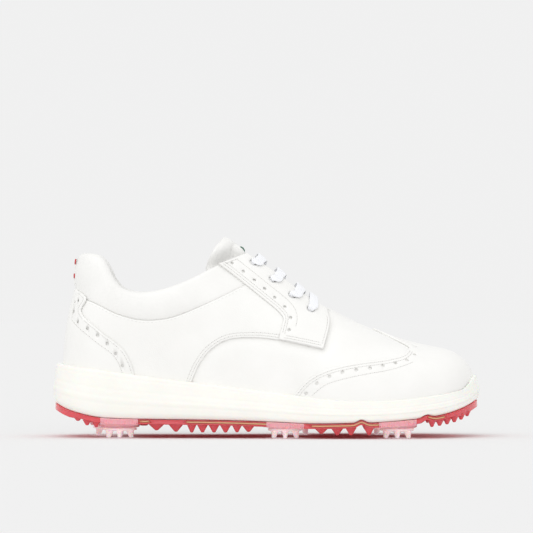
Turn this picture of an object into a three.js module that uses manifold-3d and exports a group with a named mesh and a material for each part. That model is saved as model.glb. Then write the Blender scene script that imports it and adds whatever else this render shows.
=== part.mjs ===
// A right-foot wingtip golf shoe, in millimetres: +X to the toe, +Y to the inner (medial) side, +Z up.
// The shape is drawn with the heel's back at x = 0 and the ground at z = 0. At the end the whole group
// is moved so that its origin is the middle of its bounding box, on the ground.
import * as THREE from "three";
import { LoftGeometry } from "three/addons/geometries/LoftGeometry.js";
import { mergeVertices } from "three/addons/utils/BufferGeometryUtils.js";
import Module from "manifold-3d";

const wasm = await Module();
wasm.setup();

// ---------------------------------------------------------------- driving dimensions

const SHOE_LENGTH = 300;
const HEEL_CENTRE_X = 60; // where the ribs of the heel lean to
const TOE_CENTRE_X = 268; // where the ribs of the toe lean to
const RIBS = 24; // sections along the shoe
const RIB_STEPS = 8; // steps from the lasting edge up to the ridge, on each side

// Depths of the upper's layers, below (-) and above (+) the outer face of the vamp: [inner, outer].
const LINING = [-3.7, -2.9];
const STIFFENER = [-2.6, -1.8];
const VAMP = [-1.5, -0.1];
const QUARTER = [0.2, 1.4];
const OVERLAY = [1.7, 2.9];
const TAB = [1.7, 2.6];
const COLLAR_OUTER = 1.3;
const COLLAR_INNER = -9;
const TONGUE_THICKNESS = 7;

const GAP = 0.4; // between pieces that touch
const SMOOTHING = 0.08; // how far a flat-enough patch may move when its facets are merged
const BOARD_THICKNESS = 2;
const SOCKLINER_THICKNESS = 4.5;
const OUTSOLE_THICKNESS = 3.3;
const SOLE_SECTIONS = 20;

const LACE_WIDTH = 7;
const LACE_THICKNESS = 1.3;
const EYELET_RADIUS = 3.5;
const EYELET_ROWS = [[179.8, 87.8], [166.7, 97.8], [152.9, 109], [139.5, 120.9]]; // toe to ankle, x and z
const AGLET_LENGTH = 22;

const POD_RADIUS = 14;
const POD_BASE_Z = 7.2; // underside of a pod, where its spike seats
const SPIKE_RADIUS = 12;
const DISC_THICKNESS = 1.9;
const SPIKE_LEGS = 6;
const LEG_TOP_RADIUS = 2.6;
const LEG_TIP_RADIUS = 1.5;
const LEG_SPLAY = 14; // degrees
const STEM_RADIUS = 4.6;
const LUG_REACH = 6.4;
const LUG_WIDTH = 3.6;
const RECEPTACLE_RADIUS = 8.2;
const FLANGE_RADIUS = 9.8;

// Where the six spikes stand: [place, x, y].
const SPIKES = [
  ["heel_lateral", 47.5, -20],
  ["heel_medial", 39, 17],
  ["ball_lateral", 163, -30],
  ["ball_medial", 170, 28],
  ["fore_lateral", 241, -31],
  ["fore_medial", 236, 31],
];

// Traction teeth along both edges of the outsole: [x, width, z of the tip].
const TEETH = [
  [73.5, 12, 5.5], [87, 11, 4.5], [98, 7, 4], [105.5, 8, 4], [113.5, 8, 4], [121.5, 8, 4], [129.5, 7, 4.2],
  [137.5, 9, 4.5], [188, 10, 3.5], [199, 9, 2.6], [208.5, 8, 2.6], [221, 8, 2.6], [264, 6, 7.5], [271, 7, 8.5],
  [278.5, 7, 10],
];

// ---------------------------------------------------------------- curves

const clamp = (v, low, high) => Math.min(Math.max(v, low), high);
const mix = (a, b, t) => a + (b - a) * t;
const ease = (t) => clamp(t, 0, 1) ** 2 * (3 - 2 * clamp(t, 0, 1));

// One Hermite span from p to q, with slopes m and n, over a width w.
function hermite(p, q, m, n, w, t) {
  const t2 = t * t;
  const t3 = t2 * t;
  return (2 * t3 - 3 * t2 + 1) * p + (t3 - 2 * t2 + t) * w * m + (3 * t2 - 2 * t3) * q + (t3 - t2) * w * n;
}

// A smooth value over x through a few [x, value] points, straight beyond its ends.
function profile(points) {
  const last = points.length - 1;
  const slope = points.map((_, i) => {
    const a = points[Math.max(i - 1, 0)];
    const b = points[Math.min(i + 1, last)];
    return (b[1] - a[1]) / (b[0] - a[0]);
  });
  return (x) => {
    if (x <= points[0][0]) return points[0][1] + (x - points[0][0]) * slope[0];
    if (x >= points[last][0]) return points[last][1] + (x - points[last][0]) * slope[last];
    const i = points.findIndex((p) => p[0] > x) - 1;
    const w = points[i + 1][0] - points[i][0];
    return hermite(points[i][1], points[i + 1][1], slope[i], slope[i + 1], w, (x - points[i][0]) / w);
  };
}

// The sole's outline from above: the outer side from the heel to the toe, then the inner side back.
const OUTLINE = [
  [0, 0], [3.5, -19], [17, -34], [45, -41.5], [90, -42], [140, -45.5], [185, -52.5], [220, -55.5], [253, -50],
  [279, -35.5], [294, -16], [300, 5], [292, 27.5], [274, 43], [246, 52.5], [210, 54], [172, 48], [130, 40],
  [90, 38], [45, 39.5], [17, 33], [3.5, 18],
];
const TOE_INDEX = 11;
const outlineCurve = new THREE.CatmullRomCurve3(
  OUTLINE.map(([x, y]) => new THREE.Vector3(x, y, 0)),
  true,
  "centripetal",
);

// A point of the outline, d inside it. The outer side is t = 0 to 1, the inner side back is t = 1 to 2.
function outline(t, d = 0) {
  const turn = ((t % 2) + 2) % 2;
  const n = OUTLINE.length;
  const at = turn <= 1 ? (turn * TOE_INDEX) / n : (TOE_INDEX + (turn - 1) * (n - TOE_INDEX)) / n;
  const point = outlineCurve.getPoint(at % 1);
  const tangent = outlineCurve.getTangent(at % 1);
  return new THREE.Vector3(point.x - tangent.y * d, point.y + tangent.x * d, 0);
}

// Heights over x: the upper's lower edge, the midsole's rim, the sole's underside and the upper's ridge.
const lastingLine = profile([[0, 43], [30, 41], [58, 38], [98, 33.5], [150, 26.5], [200, 21], [225, 20],
  [250, 21.5], [272, 25], [290, 29], [300, 32]]);
const rimLine = profile([[0, 51.5], [35, 47.5], [58, 44.1], [98, 39.1], [150, 32.5], [197, 27], [221, 26.4],
  [245, 27.3], [269, 30], [288, 33.4], [293, 36.5], [297, 41], [300, 43.5]]);
const soleLine = profile([[0, 24], [8, 20.4], [17, 17.7], [35, 14.4], [70, 13.4], [118, 12.7], [150, 11.8],
  [180, 10.6], [207, 11], [228, 11.6], [257, 14], [276, 17], [290, 21.2], [300, 26]]);
const ridgeLine = profile([[0, 215], [60, 205], [98, 166], [121, 140], [140, 126.8], [160, 112.5], [182, 95.5],
  [205, 82.7], [223, 74.2], [243, 66.2], [264, 61], [282, 58], [300, 54]]);
const ridgeSide = profile([[60, 0], [120, 2], [170, 4], [220, 6], [268, 8], [300, 8]]);

// How full a rib is sideways and upwards: 1 is an ellipse, less is boxier.
const spread = profile([[60, 1], [120, 1], [150, 1.02], [175, 1.08], [200, 1], [235, 0.85], [268, 0.78],
  [275, 0.78]]);
const rise = profile([[60, 1], [120, 0.92], [160, 0.92], [185, 1], [200, 1], [235, 0.88], [268, 0.78],
  [275, 0.78]]);
const SWELL = 0.035;
const edgeInset = profile([[0, 9.5], [30, 8], [60, 7.5], [150, 7], [250, 7], [285, 6.6], [300, 6.2]]);

// The heel's back edge: x over z.
const heelBack = profile([[40, 9.6], [55, 9.8], [68, 10.7], [81, 12.6], [94, 15.3], [103, 17.4], [113, 17.3],
  [126, 18.6], [140, 22], [170, 40]]);

// ---------------------------------------------------------------- the upper's surface

// A rib rises from the lasting edge (a = 0) and leans to the ridge (a = 1).
function rib(t, a) {
  const foot = outline(t, edgeInset(outline(t).x));
  const ridgeX = mix(HEEL_CENTRE_X, TOE_CENTRE_X, (foot.x - 9.5) / (SHOE_LENGTH - 15.7));
  const theta = clamp(a, 0, 1) * (Math.PI / 2);
  const out = Math.max(Math.cos(theta), 0) ** spread(ridgeX) + SWELL * Math.sin(2 * theta);
  const x = mix(ridgeX, foot.x, out);
  const base = lastingLine(foot.x);
  const up = Math.sin(theta) ** rise(ridgeX);
  return new THREE.Vector3(x, mix(ridgeSide(ridgeX), foot.y, out), base + (ridgeLine(x) - base) * up);
}

// The plain rib at the heel's back, as x over z, and the surface with its heel moved to the real edge.
const plainHeel = profile(Array.from({ length: 41 }, (_, i) => rib(0, i / 40)).map((p) => [p.z, p.x]));

function surface(t, a) {
  const p = rib(t, a);
  const near = ease((HEEL_CENTRE_X - p.x) / (HEEL_CENTRE_X - 10));
  if (near > 0) p.x += (heelBack(p.z) - plainHeel(p.z)) * near;
  return p;
}

// A point of the surface moved out along its normal. The depth is a number or a function of the point.
function skin(t, a, depth) {
  const e = 1e-3;
  const p = surface(t, a);
  const alongShoe = surface(t + e, a).sub(surface(t - e, a));
  const up = surface(t, Math.min(a + e, 1)).sub(surface(t, Math.max(a - e, 0)));
  const normal = new THREE.Vector3().crossVectors(alongShoe, up).normalize();
  if (a > 0.999) normal.set(-(ridgeLine(p.x + 1) - ridgeLine(p.x - 1)) / 2, 0, 1).normalize();
  return p.addScaledVector(normal, typeof depth === "function" ? depth(p) : depth);
}

// The t and a of the surface point on one side that has this x and this z (or this y).
function locate(x, value, side, axis = "z") {
  let t = side === "lateral" ? x / SHOE_LENGTH : 2 - x / SHOE_LENGTH;
  let a = 0.5;
  const e = 1e-3;
  for (let i = 0; i < 30; i++) {
    const p = surface(t, a);
    const pt = surface(t + e, a).sub(p).divideScalar(e);
    const pa = surface(t, a + e).sub(p).divideScalar(e);
    const det = pt.x * pa[axis] - pa.x * pt[axis];
    const dx = x - p.x;
    const miss = value - p[axis];
    t += clamp((dx * pa[axis] - miss * pa.x) / det, -0.1, 0.1);
    a = clamp(a + clamp((pt.x * miss - pt[axis] * dx) / det, -0.1, 0.1), 0.01, 0.97);
  }
  return [t, a];
}

// ---------------------------------------------------------------- solids

// A closed three.js geometry as a manifold solid, for joining and cutting.
function solid(geometry) {
  const plain = geometry.index ? geometry.toNonIndexed() : geometry.clone();
  plain.deleteAttribute("normal");
  plain.deleteAttribute("uv");
  const merged = mergeVertices(plain, 1e-3);
  return new wasm.Manifold(new wasm.Mesh({
    numProp: 3,
    vertProperties: merged.attributes.position.array,
    triVerts: new Uint32Array(merged.index.array),
  }));
}

function geometryOf(manifold) {
  const mesh = manifold.getMesh();
  const geometry = new THREE.BufferGeometry();
  geometry.setAttribute("position", new THREE.BufferAttribute(mesh.vertProperties, mesh.numProp));
  geometry.setIndex(new THREE.BufferAttribute(mesh.triVerts, 1));
  geometry.computeVertexNormals();
  return geometry;
}

const spaced = (i, n, pull) => mix(i / n, 0.5 - 0.5 * Math.cos((Math.PI * i) / n), pull);

// Closes a ring of side-to-side points at the heel or the toe.
function pinch(ring) {
  ring.forEach((p, j) => p.copy(ring[Math.min(j, ring.length - 1 - j)]));
}

// The foot-shaped body whose surface lies at a depth. Its floor is the lasting line, lowered by drop.
function lastBody(depth, drop = 0, steps = RIB_STEPS) {
  const sections = [];
  for (let i = 0; i <= RIBS; i++) {
    const t = spaced(i, RIBS, 0.45);
    const innerSide = Array.from({ length: steps + 1 }, (_, j) => skin(2 - t, j / steps, depth));
    const outerSide = Array.from({ length: steps }, (_, j) => skin(t, j / steps, depth)).reverse();
    const ring = [...innerSide, ...outerSide];
    if (drop > 0) {
      const down = new THREE.Vector3(0, 0, -drop);
      ring.unshift(ring[0].clone().add(down));
      ring.push(ring[ring.length - 1].clone().add(down));
    }
    if (i === 0 || i === RIBS) pinch(ring);
    sections.push(ring);
  }
  return solid(new LoftGeometry(sections));
}

// A layer of the upper between two depths, open at the bottom and lifted just clear of its seat.
const layer = ([inner, outer], steps) => lastBody(outer, 0, steps).subtract(lastBody(inner, 3, steps));

// A smooth line through [x, z] points.
function smooth(points, steps = 2) {
  const through = points.map(([x, z]) => new THREE.Vector3(x, z, 0));
  const curve = new THREE.CatmullRomCurve3(through, false, "centripetal");
  return curve.getPoints((points.length - 1) * steps).map((p) => [p.x, p.y]);
}

function prism(points, depth) {
  const shape = new THREE.Shape(points.map(([x, y]) => new THREE.Vector2(x, y)));
  return solid(new THREE.ExtrudeGeometry(shape, { depth, bevelEnabled: false }));
}

// A prism on an outline drawn from the side as [x, z], or from above as [x, y].
const fromSide = (points, low = -90, high = 90) =>
  prism(points, high - low).rotate([90, 0, 0]).translate([0, high, 0]);
const fromAbove = (points, low, high) => prism(points, high - low).translate([0, 0, low]);

function box(low, high) {
  const size = high.map((v, i) => v - low[i]);
  const geometry = new THREE.BoxGeometry(...size);
  geometry.translate(...low.map((v, i) => v + size[i] / 2));
  return solid(geometry);
}

// An upright cylinder or cone, between two heights.
function post(x, y, low, high, radius, sides = 20, lowRadius = radius) {
  const geometry = new THREE.CylinderGeometry(radius, lowRadius, high - low, sides);
  geometry.rotateX(Math.PI / 2);
  geometry.translate(x, y, (low + high) / 2);
  return solid(geometry);
}

// A flat body between two heights over x, d inside the outline.
function slab(d, low, high, steps = SOLE_SECTIONS) {
  const sections = [];
  for (let i = 0; i <= steps; i++) {
    const t = spaced(i, steps, 0.6);
    const pair = [outline(t, d), outline(2 - t, d)];
    const ring = [[0, low], [1, low], [1, high], [0, high]].map(([side, height]) => {
      const p = pair[side].clone();
      p.z = height(p.x);
      return p;
    });
    sections.push(ring);
  }
  for (const ring of [sections[0], sections[steps]]) {
    ring[1].copy(ring[0]);
    ring[2].copy(ring[3]);
  }
  return solid(new LoftGeometry(sections));
}

// ---------------------------------------------------------------- looks

const look = (color, roughness, extra = {}) => new THREE.MeshStandardMaterial({ color, roughness, ...extra });
const LEATHER = look(0xf4f3ef, 0.42);
const CLOTH = look(0xe4e3de, 0.85);
const FOAM = look(0xfbfaf5, 0.6);
const BOARD = look(0xd9cfb8, 0.9);
const STIFF = look(0xd6d2c8, 0.8);
const RED = look(0xd22a3c, 0.3);
const GOLD = look(0xd9b98a, 0.4);
const PINK = look(0xe79aa6, 0.3);
const CLEAR = look(0xf2e8e8, 0.2);
const CORD = look(0xf7f7fb, 0.8);
const LABEL = look(0x6f7f74, 0.5);

const shoe = new THREE.Group();

function add(name, shape, material) {
  const geometry = shape.isBufferGeometry ? shape : geometryOf(shape.simplify(SMOOTHING));
  const mesh = new THREE.Mesh(geometry, material);
  mesh.name = name;
  shoe.add(mesh);
}

// ---------------------------------------------------------------- seams, seen from the side as [x, z]

const TOPLINE = smooth([[0, 128], [21, 129.2], [28, 128.6], [33.6, 126.2], [38.4, 120.4], [43, 111.5],
  [49, 105], [60, 102], [74, 103.2], [94, 109.8], [116.1, 120.6], [136, 127.4]]);
const COLLAR_SEAM = smooth([[0, 99], [25.9, 95.5], [46.7, 86], [64, 82], [82.3, 83.5], [104, 91.5],
  [135.7, 106.5], [160, 118]]);
const QUARTER_EDGE = smooth([[92, 15], [97.8, 39.1], [102.6, 50.4], [110, 60.5], [122, 68.2], [140, 70],
  [158.8, 68.2], [189.3, 61.6]]);
const FACING_REAR = smooth([[104, 131], [127, 112.5], [147, 96.5], [158, 87.3], [161.4, 82.7], [160.7, 77.8],
  [158.6, 68.8]]);
const FACING_FRONT = smooth([[189.3, 61.6], [192.6, 74], [193.4, 80], [191.5, 86], [184, 96]]);
const FOXING_EDGE = smooth([[0, 104.6], [16.2, 103.6], [22.5, 100.6], [25.6, 96.5], [21.9, 87.9], [34, 75],
  [50.5, 61.5], [57.6, 46], [59, 20]]);
const WING_EDGE = smooth([[163, 15], [168.7, 29.6], [179, 40.7], [192.6, 47.5], [212, 51.6], [234.7, 54.2],
  [246, 57], [249.6, 61]]);

// ---------------------------------------------------------------- upper

const behind = (edge, top) => fromSide([...edge, [edge[edge.length - 1][0], 0], [-20, 0], [-20, top]]);
const halfOf = {
  lateral: box([-20, -90, 0], [330, -GAP / 2, 260]),
  medial: box([-20, GAP / 2, 0], [330, 90, 260]),
};

// The lace gap, from above: its centre line follows the ridge.
const gapSide = (x, side) => ridgeSide(x) + side * mix(11.5, 10.5, clamp((190 - x) / 50, 0, 1));
const THROAT_XS = [190, 175, 160, 145, 130, 110];
const throatOf = (widen) => fromAbove([
  [196 + widen, ridgeSide(196) + 5],
  ...THROAT_XS.map((x) => [x, gapSide(x, 1) + widen]),
  ...[...THROAT_XS].reverse().map((x) => [x, gapSide(x, -1) - widen]),
  [196 + widen, ridgeSide(196) - 5],
], 50, 230);
const throat = throatOf(0);
const aboveTopline = fromSide([...TOPLINE, [150, 132], [150, 260], [-20, 260]]);
const aboveCollarSeam = (lift) => fromSide([
  ...COLLAR_SEAM.map(([x, z]) => [x, z + lift]), [160, 260], [-20, 260]]);

const quarterZone = fromSide([[-20, 0], ...QUARTER_EDGE, ...FACING_FRONT.slice(1), [184, 200], [-20, 200]]);
const facingBack = (shift) => fromSide([
  ...FACING_REAR.map(([x, z]) => [x - shift, z]), [220, 60], [220, 220], [104 - shift, 220]]);
const collarCut = aboveCollarSeam(-GAP).subtract(facingBack(GAP));
const quarterShell = layer(QUARTER).intersect(quarterZone).subtract(collarCut).subtract(aboveTopline)
  .subtract(throat);

const vampRear = smooth([[86, 15], [88, 40], [96, 60], [112, 74], [132, 79], [160, 78], [176, 76], [184, 84],
  [190, 99]]);
const vampZone = fromSide([...vampRear, [320, 120], [320, 0]]);
add("vamp", layer(VAMP).intersect(vampZone).subtract(throat), LEATHER);

const wingPeak = [[223, 0], [228, 6], [237, 13], [246, 21], [252, 29]];
const wingZone = fromSide([...WING_EDGE, [330, 61], [330, 0]])
  .add(box([249.6, -90, 0], [330, 90, 120]))
  .add(fromAbove([
    ...wingPeak.map(([x, y]) => [x, ridgeSide(x) + y]),
    ...wingPeak.slice(1).reverse().map(([x, y]) => [x, ridgeSide(x) - y]),
  ], 50, 120));
add("wing_cap", layer(QUARTER).intersect(wingZone), LEATHER);

const facingZone = fromSide([...FACING_REAR, ...FACING_FRONT, [184, 200], [104, 200]]);
const facingShell = layer(OVERLAY).intersect(facingZone).subtract(aboveTopline).subtract(throat);

// Eight lace holes, square to the surface.
const eyelets = {};
const punches = [];
for (const side of ["lateral", "medial"]) {
  eyelets[side] = EYELET_ROWS.map(([x, z]) => locate(x, z, side));
  for (const [t, a] of eyelets[side]) {
    const low = skin(t, a, -6);
    const high = skin(t, a, 7);
    const closed = post(0, 0, 0, low.distanceTo(high), EYELET_RADIUS, 8);
    const way = high.clone().sub(low).normalize();
    const lean = new THREE.Quaternion().setFromUnitVectors(new THREE.Vector3(0, 0, 1), way);
    const turn = new THREE.Matrix4().makeRotationFromQuaternion(lean);
    turn.setPosition(low);
    punches.push(closed.transform(turn.elements));
  }
}
const punchAll = (shape) => punches.reduce((left, punch) => left.subtract(punch), shape);
const facings = punchAll(facingShell);
const quarters = punchAll(quarterShell);
for (const side of ["lateral", "medial"]) {
  add(`quarter_${side}`, quarters.intersect(halfOf[side]), LEATHER);
  add(`facing_${side}`, facings.intersect(halfOf[side]), LEATHER);
}

add("heel_foxing", layer(OVERLAY).intersect(behind(FOXING_EDGE, 104.6)), LEATHER);

// The collar is thick round the heel and thins towards the facings.
const collarDepth = (p) => mix(COLLAR_INNER, LINING[0], ease((p.x - 70) / 26));
const collarShell = lastBody(COLLAR_OUTER, 0, 18).subtract(lastBody(collarDepth, 3, 18))
  .intersect(aboveCollarSeam(0)).subtract(aboveTopline);
add("collar", collarShell.subtract(facingBack(2 * GAP)).subtract(throatOf(1)), LEATHER);

add("heel_tab", layer(TAB, 18).intersect(box([-5, -9, 106], [40, 9, 125.5])), RED);

// The tongue lies under the facings and swells out above the topline.
const toplineAt = (x) => 114.5 + (x - 107) * 0.45;
const tongueTop = (p) => mix(-7.8, 1.4, ease((p.z - toplineAt(p.x) - 5) / 8));
const tongueZone = fromSide([[201, 60], [203, 95], [160, 200], [128, 147], [121, 141.8], [114.5, 134.5], [110, 126],
  [109, 117], [112, 104], [124, 93], [150, 80], [185, 64]]);
const tongueAt = (offset, inset) => lastBody((p) => tongueTop(p) + offset, inset, 18);
const tongueShell = tongueAt(0, 0).subtract(tongueAt(-TONGUE_THICKNESS, 3));
add("tongue", tongueShell.intersect(tongueZone), LEATHER);

const labelArea = fromAbove([[129.5, -6], [135.5, -6], [135.5, 10], [129.5, 10]], 120, 160);
add("tongue_label", tongueAt(0.9, 0).subtract(tongueAt(GAP, 3)).intersect(labelArea), LABEL);

const liningTop = aboveTopline.translate([0, 0, -9]); // clear of where the tongue starts to swell
const liningShell = layer(LINING).subtract(collarCut).subtract(liningTop).subtract(throat);
const liningSplit = fromSide([[120, 0], [150, 60], [176, 120], [330, 120], [330, 0]]);
const punchedLining = punchAll(liningShell);
add("quarter_lining", punchedLining.subtract(liningSplit.translate([-GAP, 0, 0])), CLOTH);
add("vamp_lining", punchedLining.intersect(liningSplit), CLOTH);

const stiffener = layer(STIFFENER);
const counterEdge = smooth([[-5, 92], [22, 90], [50, 74], [74, 50], [80, 20]]);
add("heel_counter", stiffener.intersect(fromSide([...counterEdge, [80, 0], [-20, 0]])), STIFF);
add("toe_puff", stiffener.intersect(box([255, -90, 0], [330, 90, 120])), STIFF);

// ---------------------------------------------------------------- sole

const over = (height, lift) => (x) => height(x) + lift;
const boardTop = over(lastingLine, -0.2);
const boardBottom = over(boardTop, -BOARD_THICKNESS);
const sockBottom = over(boardTop, GAP);
const sockTop = over(sockBottom, SOCKLINER_THICKNESS);
add("insole_board", slab(10.5, boardBottom, boardTop), BOARD);
add("sockliner", lastBody(LINING[0] - GAP, 3).intersect(slab(1, sockBottom, sockTop)), CLOTH);

// The midsole's outside, by levels from the sole's edge up to the rim: [inset, height over x].
function midsoleBody(steps = SOLE_SECTIONS) {
  const levels = [
    [2.2, over(soleLine, 0.1)],
    [0.2, over(soleLine, 2.6)],
    [0, (x) => mix(soleLine(x), rimLine(x), 0.4)],
    [1.4, (x) => mix(soleLine(x), rimLine(x), 0.72)],
    [2.4, rimLine],
  ];
  const sections = [];
  for (let i = 0; i <= steps; i++) {
    const t = spaced(i, steps, 0.6);
    const side = (u) => levels.map(([d, height]) => {
      const p = outline(u, d);
      p.z = height(p.x);
      return p;
    });
    const ring = [...side(2 - t), ...side(t).reverse()];
    if (i === 0 || i === steps) pinch(ring);
    sections.push(ring);
  }
  return solid(new LoftGeometry(sections));
}

// A receptacle's flange stands on the highest part of the pod under it.
const flangeLow = (x) => Math.max(soleLine(x - FLANGE_RADIUS), soleLine(x + FLANGE_RADIUS)) + 0.1;
const receptacleTop = (x) => flangeLow(x) + 1.7;
const cup = lastBody(OVERLAY[1] + GAP, 0.3).add(slab(10, over(boardBottom, -GAP), () => 90));
let midsole = midsoleBody().subtract(cup);
for (const [, x, y] of SPIKES) {
  midsole = midsole.subtract(post(x, y, 0, receptacleTop(x) + GAP, FLANGE_RADIUS + GAP, 16));
}
add("midsole", midsole, FOAM);

const outsoleTop = over(soleLine, -0.3);
const outsoleBottom = over(outsoleTop, -OUTSOLE_THICKNESS);
const plateTop = over(outsoleTop, -GAP);
const plateBottom = over(plateTop, -1.6);
const cutPods = (shape, radius) => SPIKES.reduce((left, [, x, y]) =>
  left.subtract(post(x, y, 0, 60, radius, 20)), shape);

// One tooth: a wedge across the edge of the outsole, coming down to a point.
function tooth(x, width, tipZ, side) {
  const y = side * edgeY(x, side);
  const top = outsoleBottom(x) + 1;
  const geometry = new THREE.CylinderGeometry(1, 0.18, top - tipZ, 4);
  geometry.rotateY(Math.PI / 4);
  geometry.rotateX(Math.PI / 2);
  geometry.scale(width * 0.7, 6, 1);
  geometry.translate(x, y - side * 5.2, (top + tipZ) / 2);
  return solid(geometry);
}

// How far the outline's edge is from the middle line at x.
function edgeY(x, side) {
  let best = 0;
  for (let i = 0; i <= 100; i++) {
    const p = outline(side < 0 ? i / 100 : 2 - i / 100);
    if (Math.abs(p.x - x) < 3) best = Math.abs(p.y);
  }
  return best - 1.6;
}

let outsole = slab(1.6, outsoleBottom, outsoleTop);
for (const [x, width, tipZ] of TEETH) {
  outsole = outsole.add(tooth(x, width, tipZ, -1)).add(tooth(x, width, tipZ, 1));
}
outsole = outsole.subtract(slab(3.2, over(plateBottom, -GAP), () => 60));
add("outsole", cutPods(outsole, POD_RADIUS + GAP), RED);
add("shank_plate", cutPods(slab(3.6, plateBottom, plateTop), POD_RADIUS + GAP), GOLD);

// ---------------------------------------------------------------- pods, receptacles and spikes

// Three lugs a third of a turn apart, from the axis out to their reach.
function lugs(reach, width, low, high, turn) {
  const bar = box([0, -width / 2, low], [reach, width / 2, high]);
  const bars = [0, 120, 240].map((third) => bar.rotate([0, 0, turn + third]));
  return bars[0].add(bars[1]).add(bars[2]).intersect(post(0, 0, low, high, reach, 16));
}

function spike() {
  const discTop = POD_BASE_Z - 0.3;
  const discBottom = discTop - DISC_THICKNESS;
  let made = post(0, 0, discBottom, discTop, SPIKE_RADIUS, 18, SPIKE_RADIUS - 1);
  for (let k = 0; k < SPIKE_LEGS; k++) {
    const leg = post(0, 0, -2, discTop - 0.5, LEG_TOP_RADIUS, 6, LEG_TIP_RADIUS)
      .rotate([0, -LEG_SPLAY, 0]).translate([SPIKE_RADIUS - LEG_TOP_RADIUS - 1.2, 0, 0])
      .rotate([0, 0, (k + 0.5) * (360 / SPIKE_LEGS)]);
    made = made.add(leg);
  }
  made = made.intersect(box([-20, -20, 0], [20, 20, discTop]));
  made = made.add(post(0, 0, discBottom, POD_BASE_Z + 4.2, STEM_RADIUS, 16));
  return made.add(lugs(LUG_REACH, LUG_WIDTH, POD_BASE_Z + 2.6, POD_BASE_Z + 4.2, 0));
}

// A receptacle: a cup whose lower lip the spike's lugs pass through slots and turn behind.
function receptacle(x) {
  const low = POD_BASE_Z + 0.2;
  return post(0, 0, low, receptacleTop(x), RECEPTACLE_RADIUS, 16)
    .add(post(0, 0, flangeLow(x), receptacleTop(x), FLANGE_RADIUS, 16))
    .subtract(post(0, 0, 0, POD_BASE_Z + 3, STEM_RADIUS + GAP, 16))
    .subtract(lugs(LUG_REACH + GAP, LUG_WIDTH + 2 * GAP, 0, POD_BASE_Z + 3, 60))
    .subtract(post(0, 0, POD_BASE_Z + 2.2, POD_BASE_Z + 4.6, LUG_REACH + GAP, 16));
}

for (const [place, x, y] of SPIKES) {
  const under = slab(1, () => 0, over(outsoleTop, 0));
  const pod = post(x, y, POD_BASE_Z, 40, POD_RADIUS, 24).intersect(under);
  add(`pod_${place}`, pod.subtract(post(x, y, 0, 60, RECEPTACLE_RADIUS + GAP, 20)), PINK);
  add(`receptacle_${place}`, receptacle(x).translate([x, y, 0]), STIFF);
  add(`spike_${place}`, spike().translate([x, y, 0]), CLEAR);
}

// ---------------------------------------------------------------- lace

// A flat ribbon through points that each have a place, an across direction, a width and a thickness.
function ribbon(points, perSpan = 3) {
  const path = new THREE.CatmullRomCurve3(points.map((q) => q.at), false, "centripetal");
  const spans = points.length - 1;
  const sections = [];
  for (let i = 0; i <= spans * perSpan; i++) {
    const u = i / (spans * perSpan);
    const k = Math.min(Math.floor(u * spans), spans - 1);
    const f = u * spans - k;
    const across = points[k].across.clone().lerp(points[k + 1].across, f);
    const tangent = path.getTangent(u);
    across.addScaledVector(tangent, -across.dot(tangent)).normalize();
    const normal = new THREE.Vector3().crossVectors(tangent, across);
    const w = mix(points[k].width, points[k + 1].width, f) / 2;
    const h = mix(points[k].thickness, points[k + 1].thickness, f) / 2;
    sections.push([[-w, -h], [w, -h], [w, h], [-w, h]].map(([p, q]) =>
      path.getPoint(u).addScaledVector(across, p).addScaledVector(normal, q)));
  }
  return new LoftGeometry(sections, { capStart: true, capEnd: true });
}

const OVER_FACING = OVERLAY[1] + 1.1 + LACE_THICKNESS / 2;
const UNDER_LINING = LINING[0] - 0.9 - LACE_THICKNESS / 2;
const IN_EYELET = { width: 3.4, thickness: 1.7 };

// A place on the surface with the direction out of it.
function spotAt(t, a, depth) {
  const at = skin(t, a, depth);
  return { at, out: skin(t, a, depth + 1).sub(at) };
}

// The same, for a point seen from above. Near the ridge the surface is a shallow arch.
function spotOver(x, y, depth) {
  const off = y - ridgeSide(x);
  if (Math.abs(off) > 7) return spotAt(...locate(x, y, off < 0 ? "lateral" : "medial", "y"), depth);
  const out = new THREE.Vector3(-(ridgeLine(x + 1) - ridgeLine(x - 1)) / 2, 0.024 * off, 1).normalize();
  return { at: new THREE.Vector3(x, y, ridgeLine(x) - 0.012 * off * off).addScaledVector(out, depth), out };
}

// Lays a flat run of the lace on its spots: each lies square to the surface, across the way it goes.
function lay(spots) {
  const way = spots[spots.length - 1].at.clone().sub(spots[0].at);
  return spots.map((spot) => ({
    at: spot.at,
    across: new THREE.Vector3().crossVectors(spot.out, way).normalize(),
    width: LACE_WIDTH,
    thickness: LACE_THICKNESS,
  }));
}

const eyeletSpot = (side, row, depth) => spotAt(...eyelets[side][row], depth);

// A run between two eyelets through [fraction, depth] places, pinched at both.
function run(from, to, places) {
  const between = places.map(([f, depth]) =>
    spotOver(mix(from.at.x, to.at.x, f), mix(from.at.y, to.at.y, f), depth));
  const laid = lay([from, ...between, to]);
  Object.assign(laid[0], IN_EYELET);
  Object.assign(laid[laid.length - 1], IN_EYELET);
  return laid;
}

// One strand: from under an eyelet, out of the gap, over the other facing and down its eyelet.
const strand = (from, to, row, high) => run(
  eyeletSpot(from, row, UNDER_LINING),
  eyeletSpot(to, row + 1, OVER_FACING),
  [[0.15, UNDER_LINING], [0.28, UNDER_LINING + 0.4], [0.4, 0], [0.52, high], [0.64, OVER_FACING],
    [0.76, OVER_FACING], [0.88, OVER_FACING]],
);

// The straight bar across the lowest row.
const bar = run(
  eyeletSpot("lateral", 0, OVER_FACING),
  eyeletSpot("medial", 0, OVER_FACING),
  [0.13, 0.25, 0.38, 0.5, 0.62, 0.75, 0.87].map((f) => [f, OVER_FACING]),
);

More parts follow.
